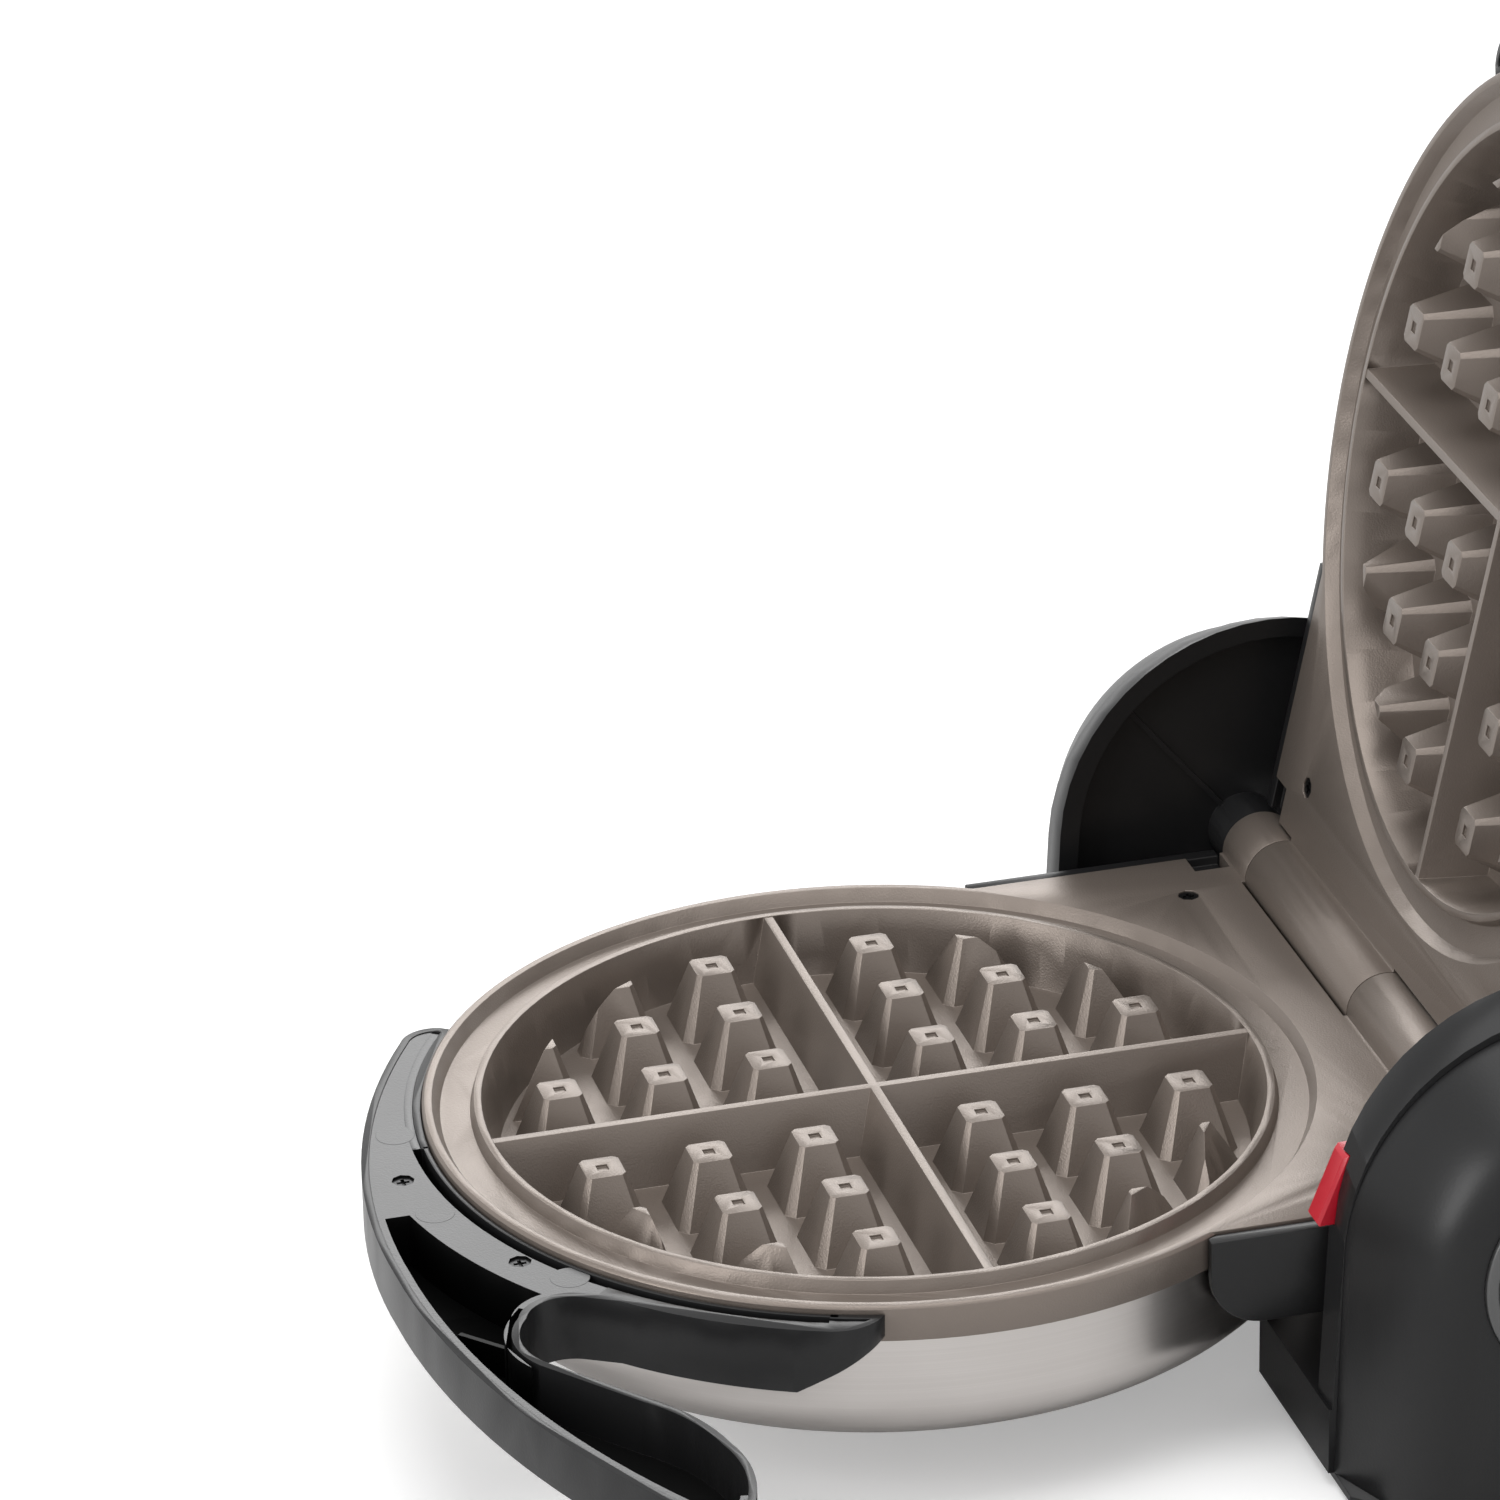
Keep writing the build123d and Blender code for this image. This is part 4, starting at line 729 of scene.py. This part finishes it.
def add_ribbon(work, line, half_width, low, high):
    """Adds a closed upright ribbon along a line of points."""
    points = [Vector(point) * MM for point in line]
    rings = []
    for number, point in enumerate(points):
        along = (points[min(number + 1, len(points) - 1)] - points[max(number - 1, 0)]).normalized()
        aside = Vector((-along.y, along.x)) * half_width
        corners = ((point - aside, low), (point + aside, low), (point + aside, high), (point - aside, high))
        rings.append([work.verts.new((*place, level)) for place, level in corners])
    close_rings(work, rings)


def cut_away(piece, cutter_mesh):
    cutter = link_piece("cutter", cutter_mesh)
    cut = piece.modifiers.new("cut", "BOOLEAN")
    cut.operation = "DIFFERENCE"
    cut.solver = "EXACT"
    cut.object = cutter
    settle(piece)
    bpy.data.objects.remove(cutter)


def handle_pan(half):
    node = f"{half}_handle_pan"
    place = handed_place[half]
    piece = copy_solid(node, node + "_formed", place)
    work = bmesh.new()
    work.from_mesh(piece.data)
    # the toe's lower edge rises towards its tip
    outwards = Vector((math.cos(TOE_BEARING), math.sin(TOE_BEARING), 0))
    along = Vector((-outwards.y, outwards.x, 0))
    start = outwards * TOE_RADIUS + Vector((0, 0, HANDLE_BOTTOM))
    slope = along * math.sin(TOE_SLOPE) - Vector((0, 0, math.cos(TOE_SLOPE)))
    cut = bmesh.ops.bisect_plane(work, geom=work.verts[:] + work.edges[:] + work.faces[:], dist=1e-7,
                                 plane_co=start, plane_no=slope, clear_outer=True)
    edges = [item for item in cut["geom_cut"] if isinstance(item, bmesh.types.BMEdge)]
    bmesh.ops.edgenet_fill(work, edges=edges)
    bmesh.ops.recalc_face_normals(work, faces=work.faces)
    # a thin lip stands beside the plate's rim, all along the slot
    add_strip(work, LIP_INNER, LIP_OUTER, LIP_START, LIP_END, HANDLE_TOP - LIP_DEPTH, HANDLE_TOP)
    work.to_mesh(piece.data)
    work.free()
    # The pan's floor gets the near-black of painted shade, since it lies in shade.
    piece.data.materials.append(painted_shade_black)
    for face in piece.data.polygons:
        floor_in_painted_shade = face.normal.z > 0.9 and face.center.z < FLOOR_LEVEL
        face.material_index = 1 if floor_in_painted_shade else 0
    return soften(piece, node, PAN_EDGE, place)


def handle_trim(half):
    node = f"{half}_handle_trim"
    place = handed_place[half]
    piece = copy_solid(node, node + "_formed", place)
    palm = bmesh.new()
    add_ribbon(palm, PALM_LINE, PALM_HALF, PAN_FLOOR - MM, 0.0)
    palm_mesh = bpy.data.meshes.new("palm_cutter")
    palm.to_mesh(palm_mesh)
    palm.free()
    cut_away(piece, palm_mesh)
    work = bmesh.new()
    work.from_mesh(piece.data)
    add_strip(work, FILLER_INNER, FILLER_OUTER, FILLER_START, FILLER_END, PAN_FLOOR, TRIM_TOP)
    # faint round marks where the mould pushed the trim out
    for x, y in MOULD_MARKS:
        spot = Matrix.Translation((x * MM, y * MM, TRIM_TOP))
        bmesh.ops.create_cone(work, cap_ends=True, segments=32, radius1=MARK_FOOT, radius2=MARK_CROWN,
                              depth=MARK_HEIGHT, matrix=spot)
    work.to_mesh(piece.data)
    work.free()
    piece.data.materials.clear()
    piece.data.materials.append(satin_black)
    # Walls below the trim's top get the near-black of painted shade, since they lie in shade.
    piece.data.materials.append(painted_shade_black)
    for face in piece.data.polygons:
        face.material_index = 0 if face.center.z > TRIM_TOP - 0.1 * MM else 1
    return soften(piece, node, TRIM_EDGE, place, flat=True)


for half in ("lower", "cover"):
    pan, trim = handle_pan(half), handle_trim(half)
    print(half, "handle", len(pan.data.polygons), "and", len(trim.data.polygons), "faces")

# %% [markdown]
# ## Screws
# Cross-head screws repeat all over the machine. A small tree makes one screw, a turned head with a
# cross cut into it and a plain shank, and sets a copy on every point that it is given. The points
# are the middles of the model's own screws, so each screw sits where its solid does.

# %% Tree: cross-head screws
HEAD_HEIGHT = 1.2 * MM
SLOT_WIDTH = 0.9 * MM
SHANK_RADIUS = 1.15 * MM


def make_screw_tree():
    tree, given, result = start_tree("cross_head_screws", [
        ("Points", "Geometry", None), ("Head Radius", "Float", 0.0024), ("Head Height", "Float", 0.0012),
        ("Slot Width", "Float", 0.0006), ("Shank Radius", "Float", 0.0012), ("Shank Length", "Float", 0.012),
        ("Material", "Material", None)])
    half_head = maths(tree, "MULTIPLY", given["Head Height"], 0.5)
    head = add_node(tree, "GeometryNodeMeshCylinder", {
        "Vertices": 24, "Radius": given["Head Radius"], "Depth": given["Head Height"]})
    raised = add_node(tree, "GeometryNodeTransform", {
        "Geometry": head.outputs["Mesh"],
        "Translation": add_node(tree, "ShaderNodeCombineXYZ", {2: half_head}).outputs[0]})
    reach = maths(tree, "MULTIPLY", given["Head Radius"], 1.2)
    top = add_node(tree, "ShaderNodeCombineXYZ", {2: given["Head Height"]}).outputs[0]
    bars = []
    for sizes in ((reach, given["Slot Width"]), (given["Slot Width"], reach)):
        measure = add_node(tree, "ShaderNodeCombineXYZ", {0: sizes[0], 1: sizes[1], 2: given["Head Height"]})
        bar = add_node(tree, "GeometryNodeMeshCube", {"Size": measure.outputs[0]})
        bars.append(add_node(tree, "GeometryNodeTransform", {
            "Geometry": bar.outputs["Mesh"], "Translation": top}))
    cross = add_node(tree, "GeometryNodeMeshBoolean", {"Mesh 1": raised.outputs[0]},
                     operation="DIFFERENCE", solver="EXACT")
    for bar in bars:
        tree.links.new(bar.outputs[0], cross.inputs["Mesh 2"])
    shank = add_node(tree, "GeometryNodeMeshCylinder", {
        "Vertices": 12, "Radius": given["Shank Radius"], "Depth": given["Shank Length"]})
    sunk = add_node(tree, "ShaderNodeCombineXYZ", {2: maths(tree, "MULTIPLY", given["Shank Length"], -0.5)})
    lowered = add_node(tree, "GeometryNodeTransform", {
        "Geometry": shank.outputs["Mesh"], "Translation": sunk.outputs[0]})
    one = add_node(tree, "GeometryNodeJoinGeometry")
    tree.links.new(cross.outputs["Mesh"], one.inputs[0])
    tree.links.new(lowered.outputs[0], one.inputs[0])
    points = add_node(tree, "GeometryNodeMeshToPoints", {"Mesh": given["Points"]})
    copies = add_node(tree, "GeometryNodeInstanceOnPoints", {
        "Points": points.outputs[0], "Instance": one.outputs[0]})
    finish_tree(tree, copies.outputs[0], given["Material"], result)
    return tree


def solid_boxes(node, place):
    """The box of each separate solid of a node, seen from a place."""
    work = bmesh.new()
    work.from_mesh(nodes[node].data)
    bmesh.ops.remove_doubles(work, verts=work.verts, dist=MERGE_DISTANCE)
    bmesh.ops.transform(work, matrix=place.inverted(), verts=work.verts)
    left, boxes = set(work.verts), []
    while left:
        reached, front = set(), [left.pop()]
        while front:
            vert = front.pop()
            reached.add(vert)
            front += [edge.other_vert(vert) for edge in vert.link_edges if edge.other_vert(vert) in left]
            left -= set(front)
        low = Vector(min(vert.co[axis] for vert in reached) for axis in range(3))
        high = Vector(max(vert.co[axis] for vert in reached) for axis in range(3))
        boxes.append((low, high))
    work.free()
    return boxes


def set_screws(node, place, material):
    boxes = solid_boxes(node, place)
    undersides = [((low.x + high.x) / 2, (low.y + high.y) / 2, high.z - HEAD_HEIGHT) for low, high in boxes]
    points = bpy.data.meshes.new(node + "_heads")
    points.from_pydata(undersides, [], [])
    low, high = boxes[0]
    values = {"Head Radius": (high.x - low.x) / 2, "Head Height": HEAD_HEIGHT, "Slot Width": SLOT_WIDTH,
              "Shank Radius": SHANK_RADIUS, "Shank Length": high.z - low.z - HEAD_HEIGHT,
              "Material": material}
    return hand_over(grow(node + "_heads", screw_tree, values, points), place, node)


screw_tree = make_screw_tree()
upside_down = Matrix.Scale(-1, 4, (0, 0, 1))
for half in ("lower", "cover"):
    set_screws(f"{half}_handle_screws", handed_place[half], dark_steel)
    set_screws(f"{half}_tongue_screws", round_place[half], dark_steel)
base_heads = set_screws("base_screws", upside_down, zinc)
print("screw faces", len(base_heads.data.polygons))

# %% [markdown]
# ## Controls
# The right pedestal carries a round panel: a satin ring, three buttons, a small light and a dark
# display window. Ring, buttons and light are turned shapes, so a profile of (radius, height) points
# is spun round its axis. The buttons have raised marks, minus, plus and a start triangle.

# %% Turned pieces of the panel
TURN_STEPS = 64


def turned_mesh(name, profile, material, closed=False):
    """Spins a profile of (radius, height) points round Z; its ends close on the axis, or on each other."""
    work = bmesh.new()
    rings = []
    for radius, height in profile:
        ring = []
        for step in range(TURN_STEPS if radius > 0 else 1):
            turn = math.tau * step / TURN_STEPS
            ring.append(work.verts.new((radius * math.cos(turn), radius * math.sin(turn), height)))
        rings.append(ring)
    pairs = list(zip(rings, rings[1:])) + ([(rings[-1], rings[0])] if closed else [])
    for one, two in pairs:
        for step in range(TURN_STEPS):
            ahead = step + 1
            corners = (one[step % len(one)], one[ahead % len(one)], two[ahead % len(two)], two[step % len(two)])
            work.faces.new(list(dict.fromkeys(corners)))
    bmesh.ops.recalc_face_normals(work, faces=work.faces)
    mesh = bpy.data.meshes.new(name)
    work.to_mesh(mesh)
    work.free()
    mesh.materials.append(material)
    return mesh


def on_panel(node):
    """The place of a panel piece: its height runs along X from its back, and its sideways is -Y."""
    centre = middle(node)
    return Matrix.Translation((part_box(node)[0].x, centre.y, centre.z)) @ Matrix.Rotation(math.pi / 2, 4, "Y")


def ring_profile(inner, outer, height, edge):
    """A flat-backed ring whose two front edges are rounded in two steps."""
    near = edge * 0.3
    return [(inner, 0), (inner, height - edge), (inner + near, height - near), (inner + edge, height),
            (outer - edge, height), (outer - near, height - near), (outer, height - edge), (outer, 0)]


TURNED_ANGLE = 50.0
BEZEL_EDGE = 0.6 * MM
bezel_size = size("control_bezel")
bezel_profile = ring_profile(panel_radius, bezel_size.y / 2, bezel_size.x, BEZEL_EDGE)
bezel = turned_mesh("control_bezel_ring", bezel_profile, ring_grey, True)
hand_over(link_piece("control_bezel_ring", bezel), on_panel("control_bezel"), "control_bezel", TURNED_ANGLE)

light_size = size("ready_light")
light_radius = light_size.y / 2
lens_profile = [(0, 0), (light_radius, 0), (light_radius, light_size.x - 0.7 * MM),
                (light_radius * 0.8, light_size.x - 0.25 * MM),
                (light_radius * 0.4, light_size.x - 0.05 * MM), (0, light_size.x)]
lens_mesh = turned_mesh("ready_light_lens", lens_profile, amber)
hand_over(link_piece("ready_light_lens", lens_mesh), on_panel("ready_light"), "ready_light", TURNED_ANGLE)

MARK = 0.9 * MM
MARK_BASE, MARK_TOP = 0.5 * MM, 0.1 * MM
FLANGE_DEPTH, FLANGE_THICK = 3.8 * MM, 1.0 * MM
bar = [(-2 * MARK, -MARK / 3), (2 * MARK, -MARK / 3), (2 * MARK, MARK / 3), (-2 * MARK, MARK / 3)]
upright = [(-y, x) for x, y in bar]
triangle = [(-1.2 * MARK, -1.5 * MARK), (1.6 * MARK, 0), (-1.2 * MARK, 1.5 * MARK)]
button_marks = {"minus_button": [bar], "plus_button": [bar, upright], "start_button": [triangle]}


def panel_button(node, marks):
    """A round button with a hollow top, its flange, and raised marks in the hollow."""
    length = size(node).x
    radius = size(node).y / 2
    profile = [(0, 0), (radius, 0), (radius, length - 0.5 * MM), (radius - 0.15 * MM, length - 0.15 * MM),
               (radius - 0.5 * MM, length), (radius - 1.0 * MM, length - 0.12 * MM),
               (radius * 0.4, length - 0.32 * MM), (0, length - 0.36 * MM)]
    mesh = turned_mesh(node + "_cap", profile, satin_black)
    work = bmesh.new()
    work.from_mesh(mesh)
    for outline in marks:
        # X on the panel runs up after the turn, so a mark's sideways is Y
        base = [work.verts.new((-y, x, length - MARK_BASE)) for x, y in outline]
        crown = [work.verts.new((-y, x, length - MARK_TOP)) for x, y in outline]
        made = [work.faces.new(base), work.faces.new(crown)]
        count = len(outline)
        for number in range(count):
            other = (number + 1) % count
            made.append(work.faces.new((base[number], base[other], crown[other], crown[number])))
        bmesh.ops.recalc_face_normals(work, faces=made)
        for face in made:
            face.material_index = 1
    flange_place = Matrix.Translation((0, 0, length - FLANGE_DEPTH))
    flange_size = Matrix.Diagonal((size(node).z, radius, FLANGE_THICK, 1))
    bmesh.ops.create_cube(work, size=1.0, matrix=flange_place @ flange_size)
    work.to_mesh(mesh)
    work.free()
    mesh.materials.append(pale)
    return hand_over(link_piece(node + "_cap", mesh), on_panel(node), node, 40.0)


for node, marks in button_marks.items():
    panel_button(node, marks)
print("controls made:", ", ".join(button_marks))

# %% [markdown]
# ## Studio
# A plain pale floor runs out on all sides. Lamps and world give a soft, even light. The white
# background is the floor's own colour, with a little glow that only the camera sees, so shadows
# stay soft and grey.

# %% Floor, lamps and world
FLOOR_REACH = 12.0
FLOOR_GLOW = 0.30


def make_stage():
    mesh = bpy.data.meshes.new("studio_floor")
    corners = [(x * FLOOR_REACH, y * FLOOR_REACH, 0) for x, y in ((-1, -1), (1, -1), (1, 1), (-1, 1))]
    mesh.from_pydata(corners, [], [(0, 1, 2, 3)])
    floor = bpy.data.objects.new("studio_floor", mesh)
    bpy.context.scene.collection.objects.link(floor)
    material, tree, shader = start_material("studio_paper", Base_Color=(0.86, 0.86, 0.86, 1), Roughness=0.9)
    path = add_node(tree, "ShaderNodeLightPath")
    glow = add_node(tree, "ShaderNodeMath", {0: path.outputs["Is Camera Ray"], 1: FLOOR_GLOW},
                    operation="MULTIPLY")
    shader.inputs["Emission Color"].default_value = (1, 1, 1, 1)
    tree.links.new(glow.outputs[0], shader.inputs["Emission Strength"])
    mesh.materials.append(material)
    floor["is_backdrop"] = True


def area_lamp(name, place, target, size_xy, power):
    data = bpy.data.lights.new(name, "AREA")
    data.shape = "RECTANGLE"
    data.size, data.size_y = size_xy
    data.energy = power
    lamp = bpy.data.objects.new(name, data)
    lamp.location = place
    lamp.rotation_euler = (Vector(target) - Vector(place)).to_track_quat("-Z", "Y").to_euler()
    bpy.context.scene.collection.objects.link(lamp)


make_stage()
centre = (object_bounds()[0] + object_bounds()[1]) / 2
area_lamp("overhead_softbox", (0.2, -0.1, 1.9), centre, (1.6, 1.6), 20.0)
area_lamp("side_softbox", (0.6, -1.8, 0.9), centre, (0.5, 1.3), 14.0)
area_lamp("low_back_softbox", (-1.75, 0.15, 0.95), centre, (1.2, 0.6), 11.0)
world = bpy.data.worlds.new("studio_world")
bpy.context.scene.world = world
world.use_nodes = True
sky = world.node_tree
path = add_node(sky, "ShaderNodeLightPath")
direct = add_node(sky, "ShaderNodeMath", {0: path.outputs["Is Camera Ray"], 1: path.outputs["Is Glossy Ray"]},
                  operation="MAXIMUM")
seen = add_node(sky, "ShaderNodeMath", {0: direct.outputs[0], 1: path.outputs["Is Transmission Ray"]},
                operation="MAXIMUM")
strength = add_node(sky, "ShaderNodeMapRange", {"Value": seen.outputs[0], "To Min": 0.55, "To Max": 1.0})
background = sky.nodes["Background"]
background.inputs["Color"].default_value = (1, 1, 1, 1)
sky.links.new(strength.outputs[0], background.inputs["Strength"])
bpy.context.scene.view_settings.view_transform = "Standard"
print("studio lamps:", len(bpy.data.lights))
